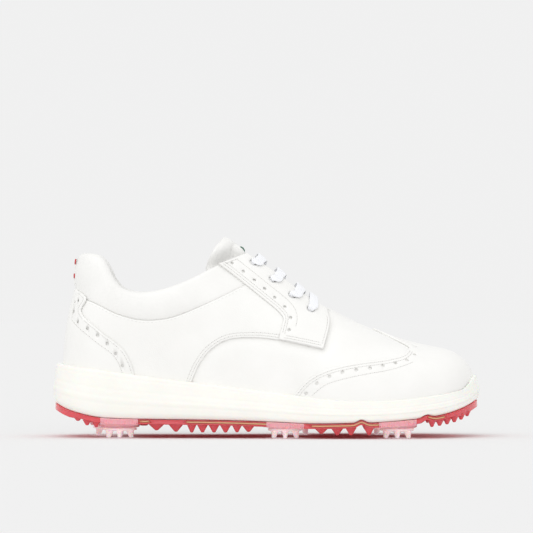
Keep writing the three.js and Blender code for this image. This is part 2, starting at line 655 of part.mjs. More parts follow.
// The lace through one side's rows, from the bar's end up to the top eyelet.
function climb(side) {
  const points = [];
  const other = { lateral: "medial", medial: "lateral" };
  let here = side;
  for (let row = 0; row < EYELET_ROWS.length; row++) {
    for (const depth of [2, -3]) points.push({ at: eyeletSpot(here, row, depth).at, ...IN_EYELET });
    if (row === EYELET_ROWS.length - 1) break;
    points.push(...strand(here, other[here], row, here === "lateral" ? 3.4 : 1.2));
    here = other[here];
  }
  return points;
}

// Gives the points in the eyelets their neighbours' direction across, and stops it flipping over.
function steady(points) {
  points.forEach((q, i) => {
    const near = points.slice(i).find((r) => r.across) ?? points[i - 1];
    q.across = near.across.clone();
    if (i > 0 && q.across.dot(points[i - 1].across) < 0) q.across.negate();
  });
  return points;
}

add("lace", ribbon(steady([...climb("lateral").reverse(), ...bar, ...climb("medial")]), 2), CORD);

// A free end: down the inside of the wall from the top eyelet, then forward over the sockliner.
function freeEnd(side) {
  const [t, a] = eyelets[side][3];
  const sign = side === "lateral" ? -1 : 1;
  const wall = [0.1, 0.25, 0.4, 0.55, 0.7, 0.82].map((f) => spotAt(t, mix(a, 0, f), UNDER_LINING));
  const floor = [[158, 24], [175, 22], [200, 20], [225, 19], [246, 18]].map(([x, y]) => ({
    at: new THREE.Vector3(x, ridgeSide(x) * 0.5 + sign * y, sockTop(x) + 3.6),
    out: new THREE.Vector3(0, 0, 1),
  }));
  return steady([...lay(wall), ...lay(floor)]);
}

function agletRun(end) {
  const last = end[end.length - 1];
  const way = last.at.clone().sub(end[end.length - 2].at).normalize();
  return [GAP, AGLET_LENGTH].map((d) => ({
    at: last.at.clone().addScaledVector(way, d),
    across: last.across,
    width: 4.2,
    thickness: 2.2,
  }));
}

for (const side of ["lateral", "medial"]) {
  const end = freeEnd(side);
  add(`lace_end_${side}`, ribbon(end, 2), CORD);
  add(`aglet_${side}`, ribbon(agletRun(end), 1), CLEAR);
}

// ---------------------------------------------------------------- frame

const bounds = new THREE.Box3().setFromObject(shoe);
const middle = bounds.getCenter(new THREE.Vector3());
shoe.position.set(-middle.x, -middle.y, -bounds.min.z);

export default shoe;
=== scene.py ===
"""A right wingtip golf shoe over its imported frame. Shapes are drawn in millimetres with the heel's back at
x = 0 and the ground at z = 0, and moved into the row frame in metres as each mesh is made."""

import math

import bmesh
import bpy
import numpy as np
from mathutils import Matrix, Vector, geometry, kdtree, noise


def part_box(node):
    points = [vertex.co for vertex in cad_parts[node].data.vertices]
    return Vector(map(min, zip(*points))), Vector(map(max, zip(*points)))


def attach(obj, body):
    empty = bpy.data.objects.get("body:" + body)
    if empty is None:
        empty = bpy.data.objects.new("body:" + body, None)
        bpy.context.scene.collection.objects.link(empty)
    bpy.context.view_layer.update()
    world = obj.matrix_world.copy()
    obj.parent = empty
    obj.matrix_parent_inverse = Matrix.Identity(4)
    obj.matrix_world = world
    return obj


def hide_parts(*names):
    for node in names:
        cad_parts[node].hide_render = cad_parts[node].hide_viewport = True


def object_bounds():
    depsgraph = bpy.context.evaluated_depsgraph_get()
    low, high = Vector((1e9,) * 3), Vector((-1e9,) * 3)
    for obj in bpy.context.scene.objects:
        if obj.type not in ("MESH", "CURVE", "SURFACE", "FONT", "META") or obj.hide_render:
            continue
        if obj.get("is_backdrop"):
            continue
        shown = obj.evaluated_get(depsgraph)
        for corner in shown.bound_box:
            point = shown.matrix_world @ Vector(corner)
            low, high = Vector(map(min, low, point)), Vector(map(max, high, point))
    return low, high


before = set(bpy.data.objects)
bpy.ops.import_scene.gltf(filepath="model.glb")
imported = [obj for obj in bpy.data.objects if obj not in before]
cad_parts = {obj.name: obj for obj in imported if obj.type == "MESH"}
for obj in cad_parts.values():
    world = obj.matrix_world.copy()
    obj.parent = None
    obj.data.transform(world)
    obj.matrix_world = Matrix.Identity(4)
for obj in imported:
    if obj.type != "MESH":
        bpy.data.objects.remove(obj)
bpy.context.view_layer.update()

# ---------------------------------------------------------------- dimensions, as in the CAD

SHOE_LENGTH = 300.0
HEEL_CENTRE_X = 60.0
TOE_CENTRE_X = 268.0
SWELL = 0.035  # how much the upper's sides bulge
# each layer's inner and outer side, measured outwards from the upper's surface
LINING = (-3.7, -2.9)
VAMP = (-1.5, -0.1)
QUARTER = (0.2, 1.4)
OVERLAY = (1.7, 2.9)
LACE_WIDTH = 7.0
LACE_THICKNESS = 1.3
# x and z of each pair of eyelets, from the front
EYELET_ROWS = [(179.8, 87.8), (166.7, 97.8), (152.9, 109), (139.5, 120.9)]
POD_RADIUS = 14.0
POD_BASE_Z = 7.2
SIGN = {"lateral": -1, "medial": 1}  # which way from the middle each side lies; lateral is the outer side
SIDES = tuple(SIGN)
SPIKES = {
    "heel_lateral": (47.5, -20),
    "heel_medial": (39, 17),
    "ball_lateral": (163, -30),
    "ball_medial": (170, 28),
    "fore_lateral": (241, -31),
    "fore_medial": (236, 31),
}

# ---------------------------------------------------------------- curves


def mix(a, b, t):
    return a + (b - a) * t


def ease(t):
    t = np.clip(t, 0, 1)
    return t * t * (3 - 2 * t)


def unit(v):
    """The same vectors at length 1."""
    return v / np.maximum(np.linalg.norm(v, axis=-1, keepdims=True), 1e-9)


def left_of(way):
    """Flat directions turned a quarter to the left."""
    return np.stack([-way[..., 1], way[..., 0]], -1)


def profile(points):
    """A smooth value over x through a few (x, value) points, straight beyond its ends."""
    xs = np.array([p[0] for p in points], float)
    ys = np.array([p[1] for p in points], float)
    n = len(xs)
    low = np.maximum(np.arange(n) - 1, 0)
    high = np.minimum(np.arange(n) + 1, n - 1)
    slope = (ys[high] - ys[low]) / (xs[high] - xs[low])

    def at(x):
        x = np.asarray(x, float)
        i = np.clip(np.searchsorted(xs, x, side="right") - 1, 0, n - 2)
        w = xs[i + 1] - xs[i]
        t = np.clip((x - xs[i]) / w, 0, 1)
        t2, t3 = t * t, t * t * t
        inside = (
            (2 * t3 - 3 * t2 + 1) * ys[i]
            + (t3 - 2 * t2 + t) * w * slope[i]
            + (3 * t2 - 2 * t3) * ys[i + 1]
            + (t3 - t2) * w * slope[i + 1]
        )
        before = ys[0] + (x - xs[0]) * slope[0]
        after = ys[-1] + (x - xs[-1]) * slope[-1]
        return np.where(x < xs[0], before, np.where(x > xs[-1], after, inside))

    return at


# the sole's edge from above, from the heel's back along the outer side to the toe and back
OUTLINE = np.array([
    [0, 0], [3.5, -19], [17, -34], [45, -41.5], [90, -42], [140, -45.5], [185, -52.5], [220, -55.5],
    [253, -50], [279, -35.5], [294, -16], [300, 5], [292, 27.5], [274, 43], [246, 52.5], [210, 54],
    [172, 48], [130, 40], [90, 38], [45, 39.5], [17, 33], [3.5, 18],
], float)
TOE_INDEX = 11


def tangents(p0, p1, p2, p3, d0, d1, d2):
    """How a curve through four points runs at the middle two, with the steps d0, d1 and d2 between them."""
    m1 = ((p1 - p0) / d0 - (p2 - p0) / (d0 + d1) + (p2 - p1) / d1) * d1
    m2 = ((p2 - p1) / d1 - (p3 - p1) / (d1 + d2) + (p3 - p2) / d2) * d1
    return m1, m2


def outline_at(at):
    """Point and unit tangent of the closed centripetal curve at a fraction of its way round."""
    n = len(OUTLINE)
    p = (np.asarray(at, float) % 1.0) * n
    k = np.floor(p).astype(int)
    w = (p - k)[..., None]
    p0, p1, p2, p3 = (OUTLINE[(k + j) % n] for j in (-1, 0, 1, 2))
    steps = (np.sqrt(np.linalg.norm(b - a, axis=-1, keepdims=True))
             for a, b in ((p0, p1), (p1, p2), (p2, p3)))
    t1, t2 = tangents(p0, p1, p2, p3, *steps)
    c2 = -3 * p1 + 3 * p2 - 2 * t1 - t2
    c3 = 2 * p1 - 2 * p2 + t1 + t2
    point = p1 + t1 * w + c2 * w * w + c3 * w ** 3
    way = t1 + 2 * c2 * w + 3 * c3 * w * w
    return point, unit(way)


def outline(t, d=0.0):
    """The outline, d inside it: t = 0 to 1 is the outer side, 1 to 2 the inner side back to the heel."""
    turn = np.asarray(t, float) % 2
    n = len(OUTLINE)
    at = np.where(turn <= 1, turn * TOE_INDEX / n, (TOE_INDEX + (turn - 1) * (n - TOE_INDEX)) / n)
    point, way = outline_at(at)
    d = np.asarray(d, float)
    return point[..., 0] - way[..., 1] * d, point[..., 1] + way[..., 0] * d


# heights over x: where the upper meets the sole, the midsole's rim, its lower edge, and the top of the upper
lasting_line = profile([(0, 43), (30, 41), (58, 38), (98, 33.5), (150, 26.5), (200, 21), (225, 20),
                        (250, 21.5), (272, 25), (290, 29), (300, 32)])
rim_line = profile([(0, 51.5), (35, 47.5), (58, 44.1), (98, 39.1), (150, 32.5), (197, 27), (221, 26.4),
                    (245, 27.3), (269, 30), (288, 33.4), (293, 36.5), (297, 41), (300, 43.5)])
sole_line = profile([(0, 24), (8, 20.4), (17, 17.7), (35, 14.4), (70, 13.4), (118, 12.7), (150, 11.8),
                     (180, 10.6), (207, 11), (228, 11.6), (257, 14), (276, 17), (290, 21.2), (300, 26)])
ridge_line = profile([(0, 215), (60, 205), (98, 166), (121, 140), (140, 126.8), (160, 112.5), (182, 95.5),
                      (205, 82.7), (223, 74.2), (243, 66.2), (264, 61), (282, 58), (300, 54)])
ridge_side = profile([(60, 0), (120, 2), (170, 4), (220, 6), (268, 8), (300, 8)])
spread = profile([(60, 1), (120, 1), (150, 1.02), (175, 1.08), (200, 1), (235, 0.85), (268, 0.78),
                  (275, 0.78)])
rise = profile([(60, 1), (120, 0.92), (160, 0.92), (185, 1), (200, 1), (235, 0.88), (268, 0.78), (275, 0.78)])
edge_inset = profile([(0, 9.5), (30, 8), (60, 7.5), (150, 7), (250, 7), (285, 6.6), (300, 6.2)])
heel_back = profile([(40, 9.6), (55, 9.8), (68, 10.7), (81, 12.6), (94, 15.3), (103, 17.4), (113, 17.3),
                     (126, 18.6), (140, 22), (170, 40)])

FLEX_NOTCHES = ((215.7, 3.4, 2.3), (262.0, 3.6, 2.0))  # x, half width, rise
GOLD_SHOWS = ((61, 69.5), (93, 153), (180, 230), (263, 276.5))  # between which x the plate's edge shows


def sole_edge(x):
    """The line between midsole and outsole, with the outsole's two flex notches."""
    return sole_line(x) + sum(up * np.exp(-(((x - at) / wide) ** 2)) for at, wide, up in FLEX_NOTCHES)


def gold_shows(x):
    """1 where the gold plate's edge shows in the outsole's wall, 0 where it is set back."""
    return np.clip(sum(ease((x - a + 1.5) / 3) * ease((b + 1.5 - x) / 3) for a, b in GOLD_SHOWS), 0, 1)


# ---------------------------------------------------------------- the upper's surface


def foot_and_ridge(t):
    """Where a rib starts at the lasting edge and ends on the ridge, from above."""
    edge_x, _ = outline(t)
    fx, fy = outline(t, edge_inset(edge_x))
    rx = mix(HEEL_CENTRE_X, TOE_CENTRE_X, (fx - 9.5) / (SHOE_LENGTH - 15.7))
    return fx, fy, rx, ridge_side(rx)


def rib(t, a):
    """A rib rises from the lasting edge, a = 0, and leans to the ridge, a = 1."""
    fx, fy, rx, ry = foot_and_ridge(t)
    theta = np.clip(a, 0, 1) * (math.pi / 2)
    cos, sin = np.maximum(np.cos(theta), 0), np.maximum(np.sin(theta), 0)
    out = cos ** spread(rx) + SWELL * np.sin(2 * theta)
    x = mix(rx, fx, out)
    base = lasting_line(fx)
    return np.stack([x, mix(ry, fy, out), base + (ridge_line(x) - base) * sin ** rise(rx)], -1)


plain_heel = profile([(p[2], p[0]) for p in rib(np.zeros(41), np.arange(41) / 40)])


def surface(t, a):
    """The upper's surface, with the heel's back pulled in to its true profile."""
    p = rib(t, a)
    near = ease((HEEL_CENTRE_X - p[..., 0]) / (HEEL_CENTRE_X - 10))
    p[..., 0] += (heel_back(p[..., 2]) - plain_heel(p[..., 2])) * near
    return p


def normals(t, a):
    """The unit direction out of the surface; on the ridge it is taken from the ridge line."""
    e = 1e-3
    along = surface(t + e, a) - surface(t - e, a)
    up = surface(t, np.minimum(a + e, 1)) - surface(t, np.maximum(a - e, 0))
    x = surface(t, a)[..., 0]
    top = unit(np.stack([-(ridge_line(x + 1) - ridge_line(x - 1)) / 2, np.zeros_like(x), np.ones_like(x)], -1))
    return unit(mix(unit(np.cross(along, up)), top, ease((np.asarray(a) - 0.96) / 0.03)[..., None]))


def skin(t, a, depth):
    """Points at a height above the surface, or below it where depth is negative."""
    t, a = np.asarray(t, float), np.asarray(a, float)
    return surface(t, a) + normals(t, a) * np.asarray(depth, float)[..., None]


def locate(x, value, side, axis=2):
    """The (t, a) of surface points on one side that have these x and these z (or y, with axis = 1)."""
    x, value = np.asarray(x, float), np.asarray(value, float)
    t = x / SHOE_LENGTH if side == "lateral" else 2 - x / SHOE_LENGTH
    t, a = t.copy(), np.full_like(t, 0.5)
    e = 1e-3
    for _ in range(40):
        p, ahead, above = surface(np.stack([t, t + e, t]), np.stack([a, a, a + e]))
        pt, pa = (ahead - p) / e, (above - p) / e
        det = pt[..., 0] * pa[..., axis] - pa[..., 0] * pt[..., axis]
        det = np.where(np.abs(det) < 1e-6, 1e-6, det)
        dx, miss = x - p[..., 0], value - p[..., axis]
        dt = np.clip((dx * pa[..., axis] - miss * pa[..., 0]) / det, -0.1, 0.1)
        up = np.clip(a + np.clip((pt[..., 0] * miss - pt[..., axis] * dx) / det, -0.1, 0.1), 0.0, 0.975)
        moved = max(np.max(np.abs(dt)), np.max(np.abs(up - a)))
        t, a = t + dt, up
        if moved < 1e-6:
            break
    return np.stack([t, a], -1)


FLAT_LENGTH = 96.0  # how long a rib is laid out, in the flat pattern


def chart(ta):
    """The upper laid out flat: each rib runs straight out from its place on the ridge."""
    t, a = ta[..., 0], ta[..., 1]
    fx, fy, rx, ry = foot_and_ridge(t)
    way = unit(np.stack([fx - rx, fy - ry], -1))
    return np.stack([rx, ry], -1) + way * (FLAT_LENGTH * (1 - a))[..., None]


_grid_t, _grid_a = np.meshgrid(np.linspace(0, 2, 401)[:-1], np.linspace(0, 1, 61), indexing="ij")
_grid = np.stack([_grid_t.ravel(), _grid_a.ravel()], -1)
_tree = kdtree.KDTree(len(_grid))
for _i, _p in enumerate(chart(_grid)):
    _tree.insert((_p[0], _p[1], 0), _i)
_tree.balance()


def unchart(uv):
    """The (t, a) of points of the flat pattern."""
    ta = np.array([_grid[_tree.find((u, v, 0))[1]] for u, v in uv])
    e = 1e-3
    for _ in range(6):
        p = chart(ta)
        pt = (chart(ta + [e, 0]) - p) / e
        pa = (chart(ta + [0, e]) - p) / e
        miss = uv - p
        det = pt[:, 0] * pa[:, 1] - pa[:, 0] * pt[:, 1]
        det = np.where(np.abs(det) < 1e-6, 1e-6, det)
        dt = (miss[:, 0] * pa[:, 1] - miss[:, 1] * pa[:, 0]) / det
        da = (pt[:, 0] * miss[:, 1] - pt[:, 1] * miss[:, 0]) / det
        ta = ta + np.stack([np.clip(dt, -0.01, 0.01), np.clip(da, -0.03, 0.03)], -1)
        ta[:, 1] = np.clip(ta[:, 1], 0, 1)
    return ta


_spike_low, _spike_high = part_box("spike_heel_lateral")
SHIFT = np.array([
    (_spike_low.x + _spike_high.x) * 500 - SPIKES["heel_lateral"][0],
    (_spike_low.y + _spike_high.y) * 500 - SPIKES["heel_lateral"][1],
    _spike_low.z * 1000,
])


def to_row(points):
    """Design millimetres to row-frame metres."""
    return (np.asarray(points, float) + SHIFT) / 1000


# ---------------------------------------------------------------- seams, seen from the side as (x, z)


def closed(loop):
    return np.vstack([loop, loop[:1]])


def resample(points, pitch):
    """The same line with its points evenly spaced."""
    points = np.asarray(points, float)
    step = np.linalg.norm(np.diff(points, axis=0), axis=1)
    along = np.concatenate([[0], np.cumsum(step)])
    n = max(int(round(along[-1] / pitch)), 1)
    at = np.linspace(0, along[-1], n + 1)
    return np.stack([np.interp(at, along, points[:, k]) for k in range(points.shape[1])], -1)


def spline(keys, per_span):
    """A smooth curve through keys, by the spacing of their first three values; any others run straight."""
    keys = np.asarray(keys, float)
    k = np.vstack([2 * keys[0] - keys[1], keys, 2 * keys[-1] - keys[-2]])
    out = []
    for i in range(1, len(k) - 2):
        p0, p1, p2, p3 = k[i - 1: i + 3]
        steps = (max(np.linalg.norm((b - a)[:3]) ** 0.5, 1e-3) for a, b in ((p0, p1), (p1, p2), (p2, p3)))
        m1, m2 = tangents(p0, p1, p2, p3, *steps)
        for f in np.arange(per_span) / per_span:
            f2, f3 = f * f, f ** 3
            row = ((2 * f3 - 3 * f2 + 1) * p1 + (f3 - 2 * f2 + f) * m1
                   + (3 * f2 - 2 * f3) * p2 + (f3 - f2) * m2)
            row[3:] = mix(p1[3:], p2[3:], f)
            out.append(row)
    out.append(keys[-1])
    return np.array(out)


def smooth(points):
    """A smooth line through a few points, with a point at each millimetre."""
    return resample(spline(points, 20), 1.0)


TOPLINE = smooth([(14, 128.6), (21, 129.2), (28, 128.6), (33.6, 126.2), (38.4, 120.4), (43, 111.5),
                  (49, 105), (60, 102), (74, 103.2), (94, 109.8), (116.1, 120.6), (136, 127.4)])
COLLAR_SEAM = smooth([(12, 97.6), (25.9, 95.5), (46.7, 86), (64, 82), (82.3, 83.5), (104, 91.5),
                      (135.7, 106.5)])
QUARTER_EDGE = smooth([(96.5, 35), (97.8, 39.1), (102.6, 50.4), (110, 60.5), (122, 68.2), (140, 70),
                       (158.8, 68.2), (189.3, 61.6)])
FACING_REAR = smooth([(115.6, 121), (127, 112.5), (147, 96.5), (158, 87.3), (161.4, 82.7), (160.7, 77.8),
                      (158.6, 68.8)])
FACING_FRONT = smooth([(189.3, 61.6), (192.6, 74), (193.4, 80), (191.8, 86)])
FOXING_EDGE = smooth([(18.2, 103.4), (22.5, 100.6), (25.6, 96.5), (21.9, 87.9), (34, 75), (50.5, 61.5),
                      (57.6, 46), (58, 38.5)])
WING_EDGE = smooth([(165.5, 25.5), (168.7, 29.6), (179, 40.7), (192.6, 47.5), (212, 51.6), (234.7, 54.2),
                    (246, 57), (249.6, 61)])
VAMP_REAR = smooth([(86, 36), (90, 50), (98, 63), (112, 74), (132, 79), (160, 78), (176, 77), (183, 82),
                    (187, 90)])


def gap_side(x, sign):
    """The y of the lace gap's edge."""
    return ridge_side(x) + sign * mix(11.5, 10.5, np.clip((190 - x) / 50, 0, 1))


def on_side(line, side):
    """(t, a) of points given from the side as (x, z)."""
    line = np.asarray(line)
    return locate(line[:, 0], line[:, 1], side)


def on_top(line):
    """(t, a) of points given from above as (x, y)."""
    line = np.asarray(line, float)
    sides = np.where(line[:, 1] < ridge_side(line[:, 0]), 0, 1)
    out = np.zeros((len(line), 2))
    for k, side in enumerate(SIDES):
        pick = sides == k
        if pick.any():
            out[pick] = locate(line[pick, 0], line[pick, 1], side, axis=1)
    return out


def by_ridge(points):
    """(t, a) of points given from above as (x, y beside the ridge)."""
    return on_top([(x, float(ridge_side(x)) + y) for x, y in points])


def throat_edge(side, x0, x1):
    """The lace gap's edge from x0 to x1."""
    xs = np.linspace(x0, x1, max(int(abs(x1 - x0)), 2))
    return on_top(np.stack([xs, gap_side(xs, SIGN[side])], -1))


# ---------------------------------------------------------------- mesh helpers


def make_mesh(name, points, faces, uv=None):
    mesh = bpy.data.meshes.new(name)
    mesh.from_pydata([tuple(p) for p in to_row(points)], [], [tuple(int(i) for i in f) for f in faces])
    if uv is not None:
        layer = mesh.uv_layers.new(name="flat")
        index = np.empty(len(mesh.loops), dtype=np.int32)
        mesh.loops.foreach_get("vertex_index", index)
        layer.data.foreach_set("uv", np.asarray(uv, float)[index].ravel())
    mesh.polygons.foreach_set("use_smooth", [True] * len(mesh.polygons))
    mesh.validate()
    mesh.update()
    obj = bpy.data.objects.new(name, mesh)
    bpy.context.scene.collection.objects.link(obj)
    return obj


def place(obj, body, finish, node=None):
    """Gives a piece its material and its body, and hides the CAD node that it stands for."""
    obj.data.materials.append(finish)
    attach(obj, body)
    if node:
        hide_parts(node)
    return obj


def sharpen(obj, degrees=40):
    obj.data.set_sharp_from_angle(angle=math.radians(degrees))
    return obj


def inside(points, loop):
    """Which points lie inside a closed loop."""
    x0, y0 = loop[:, 0][None], loop[:, 1][None]
    x1, y1 = np.roll(loop[:, 0], -1)[None], np.roll(loop[:, 1], -1)[None]
    out = np.zeros(len(points), bool)
    for s in range(0, len(points), 4000):
        x, y = points[s: s + 4000, 0][:, None], points[s: s + 4000, 1][:, None]
        cross = (y0 > y) != (y1 > y)
        at = x0 + (y - y0) * (x1 - x0) / np.where(y1 == y0, 1e-9, y1 - y0)
        out[s: s + 4000] = (np.sum(cross & (x < at), axis=1) % 2) == 1
    return out


def in_space(points):
    """The same points, with z = 0 where they have none."""
    points = np.asarray(points, float)
    return np.column_stack([points, np.zeros(len(points))]) if points.shape[1] == 2 else points


def tree_of(points):
    points = in_space(points)
    tree = kdtree.KDTree(len(points))
    for i, p in enumerate(points):
        tree.insert(tuple(p), i)
    tree.balance()
    return tree


def reach(points, tree):
    """How far each point is from the nearest point of a tree."""
    return np.array([tree.find(tuple(p))[2] for p in in_space(points)])


EDGE_ROWS = (0.4, 1.2)


def triangulate(loop, hole_loops, extra, pitch):
    """Points and triangles that fill a flat loop with holes, with rows of points just inside its edge."""
    tree = tree_of(resample(closed(loop), 0.4))
    ahead, behind = np.roll(loop, -1, axis=0), np.roll(loop, 1, axis=0)
    inward = left_of(unit(ahead - behind))
    if np.sum(loop[:, 0] * ahead[:, 1] - ahead[:, 0] * loop[:, 1]) < 0:
        inward = -inward
    sets = []
    for d in EDGE_ROWS:
        row = loop + inward * d
        row = row[inside(row, loop)]
        sets.append((row[reach(row, tree) > d * 0.8], 0.3) if len(row) else (row, 0.3))
    for h in hole_loops:
        middle = h.mean(axis=0)
        sets.append((middle + (h - middle) * 1.45, 0.3))
    sets += [(s, 0.35) for s in extra]
    low, high = loop.min(0), loop.max(0)
    us, vs = np.arange(low[0], high[0], pitch), np.arange(low[1], high[1], pitch * 0.87)
    grid_u, grid_v = np.meshgrid(us, vs)
    grid = np.stack([(grid_u + (np.arange(len(vs)) % 2)[:, None] * pitch / 2).ravel(), grid_v.ravel()], -1)
    grid = grid[inside(grid, loop)]
    grid = grid[reach(grid, tree) > max(EDGE_ROWS) + 0.4 * pitch]
    sets.append((grid, 0.55 * pitch))
    cells = {}

    def free(p, gap):
        gx, gy = int(p[0] // 2), int(p[1] // 2)
        for i in (-1, 0, 1):
            for j in (-1, 0, 1):
                for q in cells.get((gx + i, gy + j), ()):
                    if (q[0] - p[0]) ** 2 + (q[1] - p[1]) ** 2 < gap * gap:
                        return False
        return True

    def keep(p):
        cells.setdefault((int(p[0] // 2), int(p[1] // 2)), []).append(p)
        points.append(p)

    points, edges = [], []
    for ring in [loop, *hole_loops]:
        start, n = len(points), len(ring)
        edges += [(start + i, start + (i + 1) % n) for i in range(n)]
        for p in ring:
            keep(tuple(p))
    for s, gap in sets:
        if not len(s):
            continue
        ok = inside(s, loop)
        for h in hole_loops:
            ok &= ~inside(s, h)
        for p in s[ok]:
            if free(p, gap):
                keep(tuple(p))
    out = geometry.delaunay_2d_cdt([Vector(p) for p in points], edges, [], 0, 1e-5)
    verts = np.array([tuple(v) for v in out[0]])
    tris = np.array([f for f in out[2] if len(f) == 3])
    mid = verts[tris].mean(axis=1)
    good = inside(mid, loop)
    for h in hole_loops:
        good &= ~inside(mid, h)
    tris = tris[good]
    a, b, c = verts[tris[:, 0]], verts[tris[:, 1]], verts[tris[:, 2]]
    turn = (b[:, 0] - a[:, 0]) * (c[:, 1] - a[:, 1]) - (b[:, 1] - a[:, 1]) * (c[:, 0] - a[:, 0])
    tris[turn < 0] = tris[turn < 0][:, ::-1]
    used = np.unique(tris)
    index = -np.ones(len(verts), int)
    index[used] = np.arange(len(used))
    return verts[used], index[tris]


def two_sided(upper, tris, outward):
    """The faces of a closed sheet: its two sides and the walls at its free edges."""
    n = len(upper)
    p0, p1, p2 = upper[tris[:, 0]], upper[tris[:, 1]], upper[tris[:, 2]]
    if np.sum(np.cross(p1 - p0, p2 - p0) * outward[tris[:, 0]]) < 0:
        tris = tris[:, ::-1]
    sides = {(t[i], t[(i + 1) % 3]) for t in tris for i in range(3)}
    walls = [(b, a, a + n, b + n) for a, b in sorted(sides) if (b, a) not in sides]
    return [*map(tuple, tris), *((c + n, b + n, a + n) for a, b, c in tris), *walls]


def sheet(name, upper, lower, tris, outward, flat):
    """The mesh of a closed sheet, with its flat pattern in decimetres as UVs."""
    faces = two_sided(upper, tris, outward)
    return make_mesh(name, np.vstack([upper, lower]), faces, np.vstack([flat, flat]) / 100)


def circle(n):
    """Angles of n points round a circle."""
    return np.arange(n) * (2 * math.pi / n)


def ring_on(t, a, radius, n=12):
    """A circle of that radius drawn on the surface, as (t, a)."""
    e = 1e-3
    t, a = np.float64(t), np.float64(a)
    p = surface(t, a)
    pt, pa = (surface(t + e, a) - p) / e, (surface(t, a + e) - p) / e
    u1 = pt / np.linalg.norm(pt)
    skew = pa @ u1
    rest = np.linalg.norm(pa - skew * u1)
    at = circle(n)
    da = radius * np.sin(at) / rest
    dt = (radius * np.cos(at) - da * skew) / np.linalg.norm(pt)
    return np.stack([t + dt, a + da], -1)


def value(f, points):
    """A number for each point, from one number or a function of the points."""
    return f(points) if callable(f) else np.full(len(points), float(f))


def dome(far, span):
    """From 0 at an edge to 1 at span from it, as a quarter circle."""
    return np.sqrt(np.clip(1 - (1 - np.clip(far / span, 0, 1)) ** 2, 0, 1))


def grain(points, size):
    """Smooth noise with bumps about size apart."""
    return np.array([noise.noise(Vector(tuple(p / size))) for p in points])


def panel(name, loop, depth, holes=(), seams=(), pitch=2.2, edge=0.45, swell=0.0, span=3.0, inner_swell=0.0,
          ripple=0.12, seam_dip=0.2):
    """A panel of the upper: a closed sheet cut to a loop of (t, a), with punched holes and sunk seams.
    depth is (inner, outer); swell and inner_swell thin its two sides towards its edge over span. Each is a
    number or a function of the points of the surface."""
    flat = resample(chart(closed(loop)), 1.0)[:-1]
    hole_loops = [chart(ring_on(t, a, r)) for t, a, r in holes]
    extra = []
    for s in seams:
        line = resample(chart(s), 0.9)
        beside = unit(left_of(np.gradient(line, axis=0)))
        extra += [line, line + beside * 0.8, line - beside * 0.8]
    verts, tris = triangulate(flat, hole_loops, extra, pitch)
    ta = unchart(verts)
    base, n = surface(ta[:, 0], ta[:, 1]), normals(ta[:, 0], ta[:, 1])
    rim_ta = unchart(resample(closed(flat), 0.5))
    from_rim = reach(base, tree_of(surface(*rim_ta.T)))
    far = from_rim
    for t, a, r in holes:
        far = np.minimum(far, reach(base, tree_of(surface(*ring_on(t, a, r, 24).T))))
    top = value(depth[1], base) - edge * (1 - dome(far, edge * 2.2))
    bottom = value(depth[0], base)
    if swell or inner_swell:
        fall = 1 - dome(from_rim, value(span, base))
        top, bottom = top - value(swell, base) * fall, bottom + value(inner_swell, base) * fall
    calm = np.clip(far / 3, 0, 1)
    for s in seams:
        d = reach(base, tree_of(resample(surface(*resample(s, 0.01).T), 0.5)))
        top = top - seam_dip * np.exp(-((d / 0.9) ** 2))
        calm = np.minimum(calm, np.clip(d / 3, 0, 1))
    top = top + ripple * calm * (grain(base, 19.0) + 0.5 * grain(base + 40, 7.0))
    bottom = np.minimum(bottom, top - 0.3)
    return sheet(name, base + n * top[:, None], base + n * bottom[:, None], tris, n, verts)


def slab(name, loop, holes, low, high, pitch=3.0, edge=0.4, relief=None):
    """A plate seen from above: a loop of (x, y) with (x, y, radius) holes, between two heights."""
    loop = resample(closed(loop), 1.5)[:-1]
    at = circle(40)
    rings = [np.stack([x + r * np.cos(at), y + r * np.sin(at)], -1) for x, y, r in holes]
    verts, tris = triangulate(loop, rings, [], pitch)
    far = reach(verts, tree_of(resample(closed(loop), 0.4)))
    for x, y, r in holes:
        far = np.minimum(far, np.abs(np.hypot(verts[:, 0] - x, verts[:, 1] - y) - r))
    round_off = edge * (1 - dome(far, edge * 2.5))
    z_low, z_high = low(verts[:, 0], verts[:, 1]) + round_off, high(verts[:, 0], verts[:, 1]) - round_off
    if relief:
        z_low = z_low - relief(verts[:, 0], verts[:, 1]) * np.clip(far / 2, 0, 1)
    upper, lower = np.column_stack([verts, z_high]), np.column_stack([verts, z_low])
    return sheet(name, upper, lower, tris, np.tile([0.0, 0.0, 1.0], (len(verts), 1)), verts)


def loft(name, sections, ring_closed=False, uv=None):
    """A skin over sections, each a closed ring of points; the ends are capped unless the row closes too."""
    sections = np.asarray(sections, float)
    count, size = sections.shape[:2]
    faces = []
    for i in range(count if ring_closed else count - 1):
        j = (i + 1) % count
        for k in range(size):
            m = (k + 1) % size
            faces.append((i * size + k, i * size + m, j * size + m, j * size + k))
    if not ring_closed:
        faces.append(tuple(range(size))[::-1])
        faces.append(tuple((count - 1) * size + k for k in range(size)))
    return make_mesh(name, sections.reshape(-1, 3), faces, uv)


def outward(obj):
    """Turns every face of a closed mesh outwards."""
    bm = bmesh.new()
    bm.from_mesh(obj.data)
    bmesh.ops.recalc_face_normals(bm, faces=bm.faces)
    bm.to_mesh(obj.data)
    bm.free()
    return obj


# ---------------------------------------------------------------- materials


